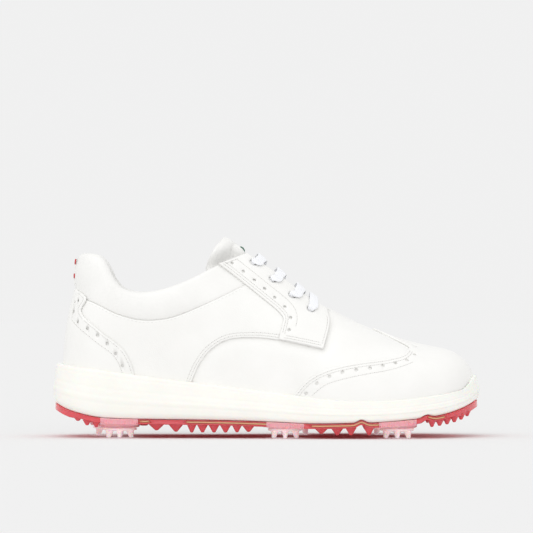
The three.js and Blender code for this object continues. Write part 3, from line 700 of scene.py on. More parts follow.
class Nodes:
    """A material's nodes, made by name and joined as they are made."""

    def __init__(self, name, **sockets):
        self.material = bpy.data.materials.new(name)
        self.material.use_nodes = True
        self.tree = self.material.node_tree
        self.shader = self.tree.nodes["Principled BSDF"]
        for key, v in sockets.items():
            self.shader.inputs[key.replace("_", " ")].default_value = v
        self.object = self.add("ShaderNodeTexCoord").outputs["Object"]
        self.bumps = None

    def add(self, kind, links=(), **settings):
        node = self.tree.nodes.new(kind)
        for key, v in settings.items():
            if key in node.inputs:
                node.inputs[key].default_value = v
            else:
                setattr(node, key, v)
        for key, out in dict(links).items():
            self.tree.links.new(out, node.inputs[key])
        return node

    def noise(self, scale, detail):
        node = self.add("ShaderNodeTexNoise", {"Vector": self.object}, Scale=scale, Detail=detail)
        return node.outputs["Fac"]

    def cells(self, scale):
        return self.add("ShaderNodeTexVoronoi", {"Vector": self.object}, Scale=scale).outputs["Distance"]

    def spread(self, fac, low, high):
        """Remaps a 0 to 1 value."""
        ends = {"To Min": low, "To Max": high}
        return self.add("ShaderNodeMapRange", {"Value": fac}, **ends).outputs["Result"]

    def colours(self, fac, *stops):
        ramp = self.add("ShaderNodeValToRGB", {"Fac": fac})
        bar = ramp.color_ramp.elements
        for i, (at, colour) in enumerate(stops):
            stop = bar[i] if i < 2 else bar.new(at)
            stop.position = at
            stop.color = (*colour, 1)
        return ramp.outputs["Color"]

    def bump(self, height, strength, distance):
        links = {"Height": height}
        if self.bumps:
            links["Normal"] = self.bumps
        self.bumps = self.add("ShaderNodeBump", links, Strength=strength, Distance=distance).outputs["Normal"]
        self.tree.links.new(self.bumps, self.shader.inputs["Normal"])

    def link(self, out, socket):
        self.tree.links.new(out, self.shader.inputs[socket])

    def math(self, operation, a, b):
        node = self.add("ShaderNodeMath", operation=operation)
        for i, v in enumerate((a, b)):
            if isinstance(v, (int, float)):
                node.inputs[i].default_value = v
            else:
                self.tree.links.new(v, node.inputs[i])
        return node.outputs[0]


def leather(name, light, dark, pebble, roughness=0.42, depth=0.00012):
    """Full-grain leather: fine pebbles with finer pores between them, and a slightly uneven finish."""
    m = Nodes(name, Roughness=roughness, Coat_Weight=0.12, Coat_Roughness=0.35, Specular_IOR_Level=0.4)
    warp = m.noise(260, 3)
    m.link(m.colours(m.noise(38, 4), (0.3, dark), (0.7, light)), "Base Color")
    m.link(m.spread(m.noise(90, 3), roughness - 0.06, roughness + 0.1), "Roughness")
    m.bump(m.math("ADD", m.cells(pebble), m.math("MULTIPLY", warp, 0.6)), 0.35, depth)
    m.bump(m.noise(2600, 2), 0.12, 0.00005)
    return m.material


def plain(name, colour, roughness, scale=300, strength=0.2, distance=0.0001, vary=0.92, **sockets):
    """Moulded material with a faint mottle in its colour and a fine skin."""
    m = Nodes(name, Roughness=roughness, **sockets)
    dark = tuple(c * vary for c in colour)
    m.link(m.colours(m.noise(scale * 0.12, 3), (0.3, dark), (0.7, colour)), "Base Color")
    m.link(m.spread(m.noise(scale * 0.5, 3), max(roughness - 0.07, 0.02), roughness + 0.07), "Roughness")
    m.bump(m.noise(scale * 4, 3), strength, distance)
    return m.material


def woven(name, light, dark, scale_u, scale_v, roughness=0.8, relief=0.0003):
    """A plain weave over the piece's flat pattern, its colour darker where the threads run low: painted shade
    in the hollows of the weave.
    """
    m = Nodes(name, Roughness=roughness, Sheen_Weight=0.25, Sheen_Roughness=0.5, Specular_IOR_Level=0.25)
    split = m.add("ShaderNodeSeparateXYZ", {"Vector": m.add("ShaderNodeTexCoord").outputs["UV"]})
    u = m.math("SINE", m.math("MULTIPLY", split.outputs["X"], scale_u), 0.0)
    v = m.math("SINE", m.math("MULTIPLY", split.outputs["Y"], scale_v), 0.0)
    over = m.math("ABSOLUTE", m.math("MULTIPLY", u, v), 0.0)
    fuzz = m.noise(1500, 3)
    thread = m.math("ADD", over, m.math("MULTIPLY", fuzz, 0.35))
    # the dark colour goes where the weave is low, as painted shade between the threads; the fuzz adds random
    # tone
    m.link(m.colours(thread, (0.05, dark), (0.65, light)), "Base Color")
    m.bump(thread, 0.5, relief)
    return m.material


WHITE_LEATHER = leather("white_leather", (0.93, 0.925, 0.905), (0.895, 0.89, 0.868), 1150)
SOFT_LEATHER = leather("soft_leather", (0.925, 0.92, 0.9), (0.885, 0.88, 0.86), 850, 0.46, 0.00016)
THREAD = plain("thread", (0.86, 0.855, 0.83), 0.55, scale=900, strength=0.4)
# dark grey for the needle holes: painted shade, since no hole is cut in the leather
NEEDLE_SHADE = plain("needle_shade_paint", (0.40, 0.385, 0.36), 0.9, scale=900, strength=0.1)
RED_THREAD = plain("red_thread", (0.62, 0.03, 0.04), 0.55, scale=900, strength=0.4)
LABEL = woven("label_weave", (0.10, 0.23, 0.165), (0.05, 0.13, 0.09), 2600, 2600)
LINING_CLOTH = woven("lining_cloth", (0.90, 0.90, 0.885), (0.70, 0.70, 0.69), 520, 520, relief=0.0004)
SOCK_CLOTH = woven("sock_cloth", (0.86, 0.86, 0.85), (0.64, 0.64, 0.64), 420, 420, relief=0.0004)
STIFFENER = plain("stiffener_fibre", (0.78, 0.74, 0.66), 0.8)
BOARD = plain("lasting_board", (0.62, 0.52, 0.38), 0.85)
FOAM = plain("eva_foam", (0.965, 0.955, 0.90), 0.5, scale=420, strength=0.12, distance=0.0001, vary=0.965,
             Subsurface_Weight=0.12, Subsurface_Scale=0.004)
# its emission is a painted glow: it stands in for light scattered through the red outsole and thrown red onto
# the floor beneath
RED_TPU_PAINTED_GLOW = plain("red_tpu", (0.88, 0.11, 0.135), 0.22, scale=150, strength=0.05, Transmission_Weight=0.3,
                IOR=1.5, Subsurface_Weight=0.35, Subsurface_Scale=0.005, Coat_Weight=0.3, Coat_Roughness=0.12,
                Emission_Color=(0.9, 0.04, 0.06, 1), Emission_Strength=0.045)
GOLD = plain("gold_plate", (0.80, 0.53, 0.29), 0.34, scale=200, strength=0.08, Metallic=0.25)
# its emission is a painted glow standing in for light scattered through the pink pods in the shade under the
# shoe
PINK_TPU_PAINTED_GLOW = plain("pink_tpu", (0.97, 0.46, 0.51), 0.2, scale=150, strength=0.05, Transmission_Weight=0.1, IOR=1.48,
             Subsurface_Weight=0.5, Subsurface_Scale=0.006,
             Emission_Color=(1.0, 0.35, 0.40, 1), Emission_Strength=0.04)
# its emission is a painted glow that lightens the clear spikes in the shade under the shoe, standing in for
# light scattered through them
CLEAR_TPU_PAINTED_GLOW = plain("clear_tpu", (1.0, 0.90, 0.91), 0.14, scale=150, strength=0.05, vary=0.97, IOR=1.46,
              Subsurface_Weight=0.5, Subsurface_Scale=0.006,
              Emission_Color=(1.0, 0.74, 0.76, 1), Emission_Strength=0.2)
NYLON = plain("receptacle_nylon", (0.12, 0.12, 0.13), 0.5)
LACE = woven("lace_weave", (0.98, 0.985, 1.0), (0.83, 0.85, 0.92), 3400, 2600, 0.75, relief=0.00022)
AGLET = plain("aglet_plastic", (0.80, 0.83, 0.87), 0.18, scale=200, strength=0.05,
              Transmission_Weight=0.35, IOR=1.49)

# ---------------------------------------------------------------- camera, lights and floor

PIXEL_MM = 0.7
FRAME_PIXELS = 533
CAMERA_FAR = 3.0
NEAR_SIDE = 0.018  # the frame is PIXEL_MM a pixel wide this far in front of the shoe's middle
CAMERA_HEIGHT = 0.1195
SENSOR_MM = 36.0
FLOOR_HALF = 6

camera = bpy.data.objects.new("camera", bpy.data.cameras.new("camera"))
bpy.context.scene.collection.objects.link(camera)
camera.location = (0.0, -CAMERA_FAR, CAMERA_HEIGHT)
camera.rotation_euler = (math.radians(90), 0, 0)
camera.data.sensor_width = SENSOR_MM
camera.data.lens = SENSOR_MM * (CAMERA_FAR - NEAR_SIDE) / (PIXEL_MM * FRAME_PIXELS / 1000)
camera.data.clip_end = 20
bpy.context.scene.camera = camera


def sun(name, direction, strength, softness):
    """A soft light from one direction, the same all over the floor; softness is in degrees."""
    data = bpy.data.lights.new(name, "SUN")
    data.energy = strength
    data.angle = math.radians(softness)
    lamp = bpy.data.objects.new(name, data)
    bpy.context.scene.collection.objects.link(lamp)
    lamp.rotation_euler = (-Vector(direction)).to_track_quat("-Z", "Y").to_euler()


sun("key", (-0.35, -0.45, 1.0), 0.55, 50)
sun("fill", (0.15, -1.0, 0.14), 0.42, 60)

world = bpy.data.worlds.new("studio")
bpy.context.scene.world = world
world.use_nodes = True
sky = world.node_tree.nodes["Background"].inputs
sky["Color"].default_value = (0.875, 0.875, 0.875, 1)
sky["Strength"].default_value = 1.0
bpy.context.scene.view_settings.view_transform = "Standard"

floor_mesh = bpy.data.meshes.new("floor")
floor_mesh.from_pydata([(FLOOR_HALF * i, FLOOR_HALF * j, 0) for i, j in ((-1, -1), (1, -1), (1, 1), (-1, 1))],
                       [], [(0, 1, 2, 3)])
floor = bpy.data.objects.new("floor", floor_mesh)
bpy.context.scene.collection.objects.link(floor)
floor.data.materials.append(plain("pale_floor", (0.835, 0.835, 0.835), 1.0, scale=10, strength=0.0,
                                  vary=0.998, Specular_IOR_Level=0.0))
floor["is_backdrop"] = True

# ---------------------------------------------------------------- the lace

OVER_FACING = OVERLAY[1] + 0.35 + LACE_THICKNESS / 2
UNDER_LINING = LINING[0] - 0.9 - LACE_THICKNESS / 2
SOCK_TOP_GAP = 3.6  # from the sockliner's top to the middle of a lace end that lies on it
SOCKLINER_THICKNESS = 4.5


def sock_top(x):
    """The height of the sockliner's top, over the insole board."""
    return lasting_line(x) - 0.2 + 0.4 + SOCKLINER_THICKNESS


EYELETS = {
    side: np.array([locate(np.float64(x), np.float64(z), side) for x, z in EYELET_ROWS])
    for side in SIDES
}


def lace_key(at, out):
    """A place on the lace's way, with the direction out of its flat side and the lace's usual size."""
    return {"at": at, "out": out, "width": LACE_WIDTH, "thickness": LACE_THICKNESS}


def spot(t, a, depth):
    """A place above or below the surface."""
    t, a = np.float64(t), np.float64(a)
    return lace_key(skin(t, a, depth), normals(t, a))


def spot_over(x, y, depth):
    """The same for a point seen from above; near the ridge the surface is a shallow arch."""
    off = y - float(ridge_side(x))
    if abs(off) > 7:
        t, a = locate(np.float64(x), np.float64(y), "lateral" if off < 0 else "medial", axis=1)
        return spot(t, a, depth)
    slope = float(ridge_line(x + 1) - ridge_line(x - 1)) / 2
    out = unit(np.array([-slope, 0.024 * off, 1.0]))
    at = np.array([x, y, float(ridge_line(x)) - 0.012 * off * off]) + out * depth
    return lace_key(at, out)


def lay(spots):
    """Gives places the direction across the lace as it runs from the first to the last."""
    way = spots[-1]["at"] - spots[0]["at"]
    for s in spots:
        s["across"] = unit(np.cross(s["out"], way))
    return spots


def eyelet_spot(side, row, depth):
    return spot(*EYELETS[side][row], depth)


def run(start, end, places):
    """The lace from one eyelet to another, by places of (fraction of the way, depth)."""
    between = [
        spot_over(mix(start["at"][0], end["at"][0], f), mix(start["at"][1], end["at"][1], f), depth)
        for f, depth in places
    ]
    laid = lay([start, *between, end])
    for s in (laid[0], laid[-1]):
        s.update(width=5.0, thickness=1.6)
    return laid


def strand(here, other, row, high):
    """From under one facing up to the next eyelet of the other, passing the middle at a height."""
    under = UNDER_LINING
    return run(eyelet_spot(here, row, under), eyelet_spot(other, row + 1, OVER_FACING),
               [(0.15, under), (0.28, under + 0.4), (0.4, 0), (0.52, high), (0.64, OVER_FACING),
                (0.76, OVER_FACING), (0.88, OVER_FACING)])


def climb(here):
    """The lace up from a front eyelet, crossing over at each row; it is gathered where it goes through."""
    points = []
    for row in range(len(EYELET_ROWS)):
        for depth in (2, -3):
            at = eyelet_spot(here, row, depth)["at"]
            points.append({"at": at, "across": None, "width": 4.2, "thickness": 1.7})
        if row == len(EYELET_ROWS) - 1:
            break
        other = "medial" if here == "lateral" else "lateral"
        points += strand(here, other, row, 1.2 if here == "lateral" else 3.4)
        here = other
    return points


def steady(points):
    """Gives points in the eyelets their neighbours' direction across, and stops it flipping over."""
    for i, q in enumerate(points):
        if q["across"] is None:
            later = [r["across"] for r in points[i:] if r["across"] is not None]
            q["across"] = later[0] if later else points[i - 1]["across"]
        if i and np.dot(q["across"], points[i - 1]["across"]) < 0:
            q["across"] = -q["across"]
    return points


def ribbon(name, points, pitch=1.0):
    """A flat woven lace through its points: rounded edges and a soft crown."""
    keys = np.array([[*q["at"], *q["across"], q["width"], q["thickness"]] for q in points])
    fine = spline(keys, 12)
    step = np.linalg.norm(np.diff(fine[:, :3], axis=0), axis=1)
    along = np.concatenate([[0], np.cumsum(step)])
    at = np.linspace(0, along[-1], max(int(along[-1] / pitch), 8))
    fine = np.stack([np.interp(at, along, fine[:, k]) for k in range(fine.shape[1])], -1)
    way = unit(np.gradient(fine[:, :3], axis=0))
    across = unit(fine[:, 3:6] - way * np.sum(fine[:, 3:6] * way, axis=1, keepdims=True))
    up = np.cross(way, across)
    ring = circle(16)
    side = np.sign(np.cos(ring)) * np.abs(np.cos(ring)) ** 0.55
    high = np.sign(np.sin(ring)) * np.abs(np.sin(ring)) ** 0.75
    sections, uv = [], []
    for i, q in enumerate(fine):
        wave = 1 + 0.03 * math.sin(at[i] * 2.2)
        w, h = q[6] / 2 * wave, q[7] / 2
        sections.append(q[:3] + np.outer(side * w, across[i]) + np.outer(high * h, up[i]))
        uv += [(at[i] / 1000, s * w / 1000) for s in side]
    obj = outward(loft(name, sections, uv=uv))
    return obj, fine[:, :3], along[-1] / 1000


def free_end(side):
    """Down the inside of the wall from the top eyelet, then forward over the sockliner."""
    t, a = EYELETS[side][3]
    wall = [spot(t, mix(a, 0, f), UNDER_LINING) for f in (0.1, 0.25, 0.4, 0.55, 0.7, 0.82)]
    ground = []
    for x, y in ((158, 24), (175, 22), (200, 20), (225, 19), (246, 18)):
        at = [x, float(ridge_side(x)) * 0.5 + SIGN[side] * y, float(sock_top(x)) + SOCK_TOP_GAP]
        ground.append(lace_key(np.array(at), np.array([0.0, 0.0, 1.0])))
    return steady([*lay(wall), *lay(ground)])


bar = run(eyelet_spot("lateral", 0, OVER_FACING), eyelet_spot("medial", 0, OVER_FACING),
          [(f, OVER_FACING) for f in (0.13, 0.25, 0.38, 0.5, 0.62, 0.75, 0.87)])
lace_points = steady([*climb("lateral")[::-1], *bar, *climb("medial")])
lace, _, _ = ribbon("lace_run", lace_points)
place(lace, "shoe", LACE, "lace")

for side in SIDES:
    points = free_end(side)
    end, path, length = ribbon(f"lace_tail_{side}", points)
    place(end, "shoe", LACE, f"lace_end_{side}")
    way = unit(points[-1]["at"] - points[-2]["at"])
    tip = [  # each is its distance from the lace's end, its width and its thickness
        {"at": points[-1]["at"] + way * d, "across": points[-1]["across"], "width": w, "thickness": h}
        for d, w, h in ((0.2, 4.4, 2.3), (1.0, 4.6, 2.5), (11, 4.2, 2.4), (20.5, 3.9, 2.2), (21.8, 3.0, 1.6))
    ]
    aglet, _, _ = ribbon(f"aglet_tip_{side}", tip, 0.7)
    place(aglet, "shoe", AGLET, f"aglet_{side}")

# ---------------------------------------------------------------- the panels of the upper

LOW_A = 0.004  # how far up the panels start, as an a
BROGUE_RADIUS = 1.1
EYELET_RADIUS = 2.7


def outside_gap(line):
    """The part of a (t, a) line that lies outside the lace gap."""
    p = surface(line[:, 0], line[:, 1])
    off = np.abs(p[:, 1] - ridge_side(p[:, 0]))
    keep = off > np.abs(gap_side(p[:, 0], 1) - ridge_side(p[:, 0])) + 0.05
    return line[keep]


def x_at(line, which):
    """The x of one point of a (t, a) line."""
    return float(surface(*line[which])[0])


def gap_between(side, front, back):
    """The lace gap's edge from the end of one (t, a) line to the end or start of another."""
    return throat_edge(side, x_at(front, -1) - 0.5, x_at(*back) + 0.5)


def floor_between(a, b):
    """The lasting edge from under one (t, a) to under another."""
    return level(a[0], b[0], max(int(abs(b[0] - a[0]) * 330), 2), LOW_A)


def around_heel(line):
    """The same (t, a) line with the inner side's t counted down from the heel."""
    out = line.copy()
    out[:, 0] = np.where(out[:, 0] > 1, out[:, 0] - 2, out[:, 0])
    return out


def offset(line, d):
    """A side-view line moved d to its left."""
    return line + left_of(unit(np.gradient(line, axis=0))) * d


def between(line, low, high, axis=0):
    """The points of a side-view line whose x (or z, with axis = 1) lies between two values."""
    return line[(line[:, axis] > low) & (line[:, axis] < high)]


def level(a, b, n, height):
    """n points from one t to another at the same a."""
    return np.stack([np.linspace(a, b, n), np.full(n, height)], -1)


def punched(points, side):
    """Broguing holes at points given from the side."""
    return [(t, a, BROGUE_RADIUS) for t, a in on_side(points, side)]


def joined(*parts):
    return np.vstack(parts)


def round_toe(line_xz, front_x):
    """A loop round the toe: the line on the inner side, the gap's edges, and the line on the outer side."""
    lateral, medial = (outside_gap(on_side(line_xz, side)) for side in SIDES)
    return joined(
        floor_between(lateral[0], medial[0]), medial,
        throat_edge("medial", x_at(medial, -1) + 0.5, front_x - 1.5),
        by_ridge([(front_x, y) for y in (6, 2)]), by_ridge([(front_x, y) for y in (-2, -6)]),
        throat_edge("lateral", front_x - 1.5, x_at(lateral, -1) + 0.5), lateral[::-1],
    )


FACING_BOTTOM = QUARTER_EDGE[QUARTER_EDGE[:, 0] > 159.3]
stitch_lines = []


def facing_top(side):
    return outside_gap(on_side(TOPLINE[TOPLINE[:, 0] > 117.0][::-1], side))


def quarter_loop(side):
    edge = outside_gap(on_side(joined(QUARTER_EDGE[:-1], FACING_FRONT), side))
    heel_t = LOW_A if side == "lateral" else 2 - LOW_A
    top = facing_top(side)
    rear = on_side(FACING_REAR[FACING_REAR[:, 1] > 107.0], side)
    seam = on_side(between(COLLAR_SEAM, 17.5, 134.8)[::-1], side)
    return joined(
        floor_between((heel_t, 0), edge[0]), edge, gap_between(side, edge, (top, 0)), top, rear, seam,
        np.stack([np.full(30, heel_t), np.linspace(seam[-1][1], LOW_A, 30)], -1),
    )


quarter_tree = tree_of(joined(*[
    surface(*on_side(joined(QUARTER_EDGE, FACING_FRONT), side).T) for side in SIDES
]))


def under_quarter(p):
    """Whether surface points lie under a quarter, from the side."""
    shape = joined(QUARTER_EDGE, FACING_FRONT, [(191, 130), (60, 130), (60, 20)])
    return inside(p[:, [0, 2]], shape)


def vamp_outer(p):
    """The vamp rises to just under the wing cap away from the quarters that cover its rear."""
    far = np.where(under_quarter(p), 0, reach(p, quarter_tree))
    return VAMP[1] + 1.72 * ease((far + 1.0) / 9)


vamp = panel("vamp_leather", round_toe(VAMP_REAR, 191.5), (VAMP[0], vamp_outer), edge=0.4)
place(vamp, "shoe", WHITE_LEATHER, "vamp")

WING_HOLES = [(177.8, 31.2), (185.2, 38.2), (193.8, 42.8), (202.9, 45.4), (212.2, 46.9), (221.6, 48.0),
              (230.4, 49.3), (239.2, 50.9), (247.2, 52.6), (252.8, 56.1)]
FACING_HOLES = [(125.1, 120.7), (133.2, 114.9), (140.8, 108.9), (148, 102.8), (155.1, 96.7), (162.1, 90.2),
                (166.3, 82.7), (165.5, 74.5)]
FOXING_HOLES = [(20.2, 95.1), (17.2, 87.4), (20.0, 80.5), (26.3, 76.1), (33.0, 71.5), (39.6, 65.9),
                (45.4, 58.8), (49.9, 50.5)]


def wing_side(side):
    """The wing cap's edge on one side, from the lasting edge to its peak on the ridge."""
    edge = on_side(WING_EDGE, side)
    corner = surface(*edge[-1])
    across = abs(corner[1] - float(ridge_side(corner[0])))
    peak = smooth([(corner[0], across), (246, across * 0.84), (238, across * 0.58), (229.5, across * 0.27),
                   (224.2, 2.2)])
    return joined(edge, by_ridge(peak * [1, SIGN[side]])[1:])


wing_lateral, wing_medial = (wing_side(side) for side in SIDES)
wing_loop = joined(floor_between(wing_lateral[0], wing_medial[0]), wing_medial, wing_lateral[::-1])
peak_holes = [(*by_ridge([(x, sign * y)])[0], BROGUE_RADIUS) for sign in (-1, 1)
              for x, y in ((254.2, 20.5), (250.3, 14.2), (243.6, 8.6), (236.0, 3.4))]
WING_SECOND = smooth([(181.2, 29.6), (191.2, 37.1), (205.5, 41.4), (220.4, 44.2), (234.7, 46.4),
                      (244.7, 48.9), (252.6, 51.7)])
wing_seams = []
for side in SIDES:
    wing_seams += [on_side(line, side) for line in
                   (offset(WING_EDGE, -1.5)[1:-1], offset(WING_EDGE, -3.2)[2:-1], WING_SECOND)]
wing_holes = [hole for side in SIDES for hole in punched(WING_HOLES, side)] + peak_holes
wing = panel("wing_cap_leather", wing_loop, OVERLAY, holes=wing_holes, seams=wing_seams)
place(wing, "shoe", WHITE_LEATHER, "wing_cap")
stitch_lines += [(s, OVERLAY[1]) for s in wing_seams]


def quarter_inner(p):
    """The quarter's inside; its edge along the lace gap is turned in down to the lining, behind the vamp."""
    off = np.abs(p[:, 1] - ridge_side(p[:, 0])) - (gap_side(p[:, 0], 1) - ridge_side(p[:, 0]))
    turned = (1 - ease((off - 1.2) / 1.2)) * (1 - ease((p[:, 0] - 176) / 4))
    return mix(QUARTER[0], LINING[1] + 0.02, turned)


for side in SIDES:
    low_rows = [on_side(offset(QUARTER_EDGE, d)[3:-28], side) for d in (1.6, 3.4)]
    quarter = panel(f"quarter_{side}_leather", quarter_loop(side), (quarter_inner, QUARTER[1]),
                    seams=low_rows)
    place(quarter, "shoe", WHITE_LEATHER, f"quarter_{side}")
    stitch_lines += [(s, QUARTER[1]) for s in low_rows]

    front, top = outside_gap(on_side(FACING_FRONT, side)), facing_top(side)
    loop = joined(on_side(FACING_REAR, side), on_side(FACING_BOTTOM, side), front,
                  gap_between(side, front, (top, 0)), top)
    rows = [on_side(line, side) for line in (
        offset(FACING_REAR, 1.5)[2:-2], offset(FACING_REAR, 3.1)[2:-3], offset(FACING_REAR, 9.2)[9:-8],
        offset(FACING_BOTTOM, 1.6)[1:-1], offset(FACING_BOTTOM, 3.2)[2:-2], offset(FACING_FRONT, 1.6)[2:-2],
        offset(between(TOPLINE, 119, 131), -1.7),
    )]
    eyelets = [(t, a, EYELET_RADIUS) for t, a in EYELETS[side]]
    facing = panel(f"facing_{side}_leather", loop, OVERLAY, holes=[*punched(FACING_HOLES, side), *eyelets],
                   seams=rows)
    place(facing, "shoe", WHITE_LEATHER, f"facing_{side}")
    stitch_lines += [(s, OVERLAY[1]) for s in rows]

# ---------------------------------------------------------------- heel, collar, tongue and linings

fox_l, fox_m = (around_heel(on_side(FOXING_EDGE[::-1], side)) for side in SIDES)
foxing_loop = joined(fox_l, level(fox_l[-1][0], fox_m[-1][0], 16, fox_l[-1][1])[1:-1], fox_m[::-1],
                     level(fox_m[0][0], fox_l[0][0], 60, LOW_A))


def before_heel_back(line):
    """The part of a side-view line that is in front of the heel's back."""
    return line[line[:, 0] > heel_back(line[:, 1]) + 2.5]


foxing_rows = [around_heel(on_side(before_heel_back(offset(FOXING_EDGE, -d)[3:-4]), side))
               for side in SIDES for d in (1.5, 7.6)]
foxing_holes = [(t - 2 if t > 1 else t, a, r) for side in SIDES for t, a, r in punched(FOXING_HOLES, side)]
foxing = panel("heel_foxing_leather", foxing_loop, OVERLAY, holes=foxing_holes, seams=foxing_rows)
place(foxing, "shoe", WHITE_LEATHER, "heel_foxing")
stitch_lines += [(s, OVERLAY[1]) for s in foxing_rows]


def collar_height(p):
    """From 0 at the collar's stitched seam to 1 at the topline."""
    low, high = (np.interp(p[:, 0], *line.T) for line in (COLLAR_SEAM, TOPLINE))
    return np.clip((p[:, 2] - low) / np.maximum(high - low, 1), 0, 1)


def collar_inner(p):
    """The padded part is thick behind and thins out under the facings."""
    return mix(-9.0, -3.7, ease((p[:, 0] - 70) / 26))


def collar_outer(p):
    return 1.3 + 0.9 * np.sin(math.pi * collar_height(p)) * (1 - ease((p[:, 0] - 96) / 20))


def collar_roll(p):
    """How much of the rolled top edge a point has, from 0 at the seam to 1 near the topline."""
    return ease((collar_height(p) - 0.45) / 0.4)


def collar_swell(p):
    return mix(0.9, (collar_outer(p) - collar_inner(p)) / 2 - 0.6, collar_roll(p))


def collar_inner_swell(p):
    thick = collar_outer(p) - collar_inner(p)
    return mix(np.maximum(-3.9 - collar_inner(p), 0.3), thick / 2 - 0.3, collar_roll(p))


def collar_span(p):
    return mix(6.0, 6.5, collar_height(p)) * mix(1, 0.5, ease((p[:, 0] - 80) / 26))


collar_lines = (between(TOPLINE, 21.0, 116.5), between(COLLAR_SEAM, 17.5, 135.0),
                offset(between(FACING_REAR, 106.8, 120.4, axis=1), 0.9))


def heel_bridge(a, b):
    """Points across the heel's middle between the outer and inner side's ends of a line."""
    return np.stack([np.linspace(a[k], b[k], 12)[1:-1] for k in (0, 1)], -1)


(tops_l, lows_l, ends_l), (tops_m, lows_m, ends_m) = (
    [around_heel(on_side(line, side)) for line in collar_lines] for side in SIDES
)
collar_loop = joined(
    ends_l[::-1], tops_l[::-1], heel_bridge(tops_l[0], tops_m[0]), tops_m, ends_m,
    lows_m[::-1], heel_bridge(lows_m[0], lows_l[0]), lows_l,
)
collar = panel("collar_pad", collar_loop, (collar_inner, collar_outer), edge=0.3, swell=collar_swell,
               inner_swell=collar_inner_swell, span=collar_span, ripple=0.3, pitch=2.0)
place(collar, "shoe", SOFT_LEATHER, "collar")
stitch_lines += [(around_heel(on_side(offset(COLLAR_SEAM, -1.4)[3:-3], side)), QUARTER[1] - 0.1)
                 for side in SIDES]

TAB_HALF_T = 0.031
tab_column = np.linspace(0, 0.8, 321)
tab_heights = surface(np.zeros(321), tab_column)[:, 2]
TAB_LOW, TAB_HIGH = np.interp([106.6, 125.0], tab_heights, tab_column)


def tab_stripe(low, high, half_t):
    """A band across the heel tab between two parts of its height."""
    corners = [(-half_t, low), (-half_t, high), (half_t, high), (half_t, low)]
    return np.array([
        (mix(p[0], q[0], f), mix(TAB_LOW, TAB_HIGH, mix(p[1], q[1], f)))
        for p, q in zip(corners, corners[1:] + corners[:1]) for f in np.arange(10) / 10
    ])


tab = panel("heel_tab_leather", tab_stripe(0.0, 1.0, TAB_HALF_T), (1.9, 2.7), edge=0.3, pitch=1.6, ripple=0)
place(tab, "shoe", WHITE_LEATHER, "heel_tab")
for name, low, high in (("upper", 0.76, 0.97), ("lower", 0.24, 0.42)):
    stripe = panel(f"heel_tab_band_{name}", tab_stripe(low, high, TAB_HALF_T * 1.04), (2.2, 3.1), edge=0.3,
                   pitch=1.5, ripple=0)
    place(stripe, "shoe", RED_THREAD)

TONGUE_THICKNESS = 7.0
TONGUE_LOW = smooth([(198.5, 70), (185, 64.5), (150, 80), (124, 93), (113.5, 103), (110.2, 116), (111, 126),
                     (115.2, 134.5), (118.5, 138.2)])


def tongue_top(p):
    """The tongue stands level with the surface above the topline and at the gap's top end, and lies under it
    elsewhere, with its middle a little higher."""
    off = np.abs(p[:, 1] - ridge_side(p[:, 0]))
    above = ease((p[:, 2] - (114.5 + (p[:, 0] - 107) * 0.45) - 5) / 8)
    middle = 1 - ease((off - 7) / 4)
    crown = 2.6 * (1 - ease((off - 2) / 6))
    return mix(-6.2 + crown, 1.4, np.maximum(above, middle * (1 - ease((p[:, 0] - 132.5) / 7))))


def tongue_bottom(p):
    return tongue_top(p) - TONGUE_THICKNESS


def tongue_loop():
    lateral, medial = (on_side(TONGUE_LOW, side) for side in SIDES)
    head = by_ridge([(120.6, y) for y in (-3.4, -1.2, 1.2, 3.4)])
    toe_end = by_ridge([(200.5, y) for y in np.linspace(14, -14, 15)])
    return joined(lateral, head, medial[::-1], toe_end)


tongue_seam = by_ridge([(126.5, y) for y in np.linspace(-13, 13, 27)])
tongue = panel("tongue_pad", tongue_loop(), (tongue_bottom, tongue_top), edge=0.3, swell=2.9, inner_swell=2.9,
               span=6.0, ripple=0.35, seams=[tongue_seam], seam_dip=0.9)
place(tongue, "tongue", SOFT_LEATHER, "tongue")


LABEL_SECTION = ((131.0, -0.5), (131.0, 0.1), (131.3, 0.3), (132.8, 0.35), (134.3, 0.3), (134.6, 0.1),
                 (134.6, -0.5), (132.8, -0.5))  # x, height above the tongue


def label_ring(y):
    """The label's section at y, with its two long edges rounded."""
    ring = []
    for x, lift in LABEL_SECTION:
        at = spot_over(x, y, 0.0)["at"]
        ring.append(spot_over(x, y, float(tongue_top(at[None])[0]) + lift)["at"])
    return ring


label_at = np.linspace(-3, 8.5, 13)
label = outward(loft("tongue_label_patch", [label_ring(y) for y in label_at],
                     uv=[(k / 800, y / 1000) for y in label_at for k in range(len(LABEL_SECTION))]))
place(label, "tongue", LABEL, "tongue_label")

LINING_TOP = TOPLINE - [0, 9.0]
LINING_END = smooth([(136.2, 119), (138, 122), (139, 126), (139.5, 129)])
SPLIT = smooth([(122, 30), (136, 45), (150, 60), (164, 80), (174, 99)])  # between the two linings


def lining_side(side):
    split, end = outside_gap(on_side(SPLIT, side)), outside_gap(on_side(LINING_END, side))
    top = on_side(LINING_TOP[LINING_TOP[:, 0] > 21], side)
    return around_heel(joined(split, gap_between(side, split, (end, -1)), end[::-1], top[::-1]))


def lining_loop():
    lateral, medial = (lining_side(side) for side in SIDES)
    return joined(lateral, heel_bridge(lateral[-1], medial[-1]), medial[::-1],
                  level(medial[0][0], lateral[0][0], 120, LOW_A))


lining = panel("quarter_lining_cloth", lining_loop(), LINING, edge=0.2, pitch=3.2, ripple=0.1)
place(lining, "shoe", LINING_CLOTH, "quarter_lining")
front_lining = panel("vamp_lining_cloth", round_toe(SPLIT, 200.5), LINING, edge=0.2, pitch=3.6, ripple=0)
place(front_lining, "shoe", LINING_CLOTH, "vamp_lining")

# ---------------------------------------------------------------- inside and under the foot


def plan_loop(inset):
    """The outline from above, with an inset."""
    return np.stack(outline(np.linspace(0, 2, 401)[:-1], inset), -1)


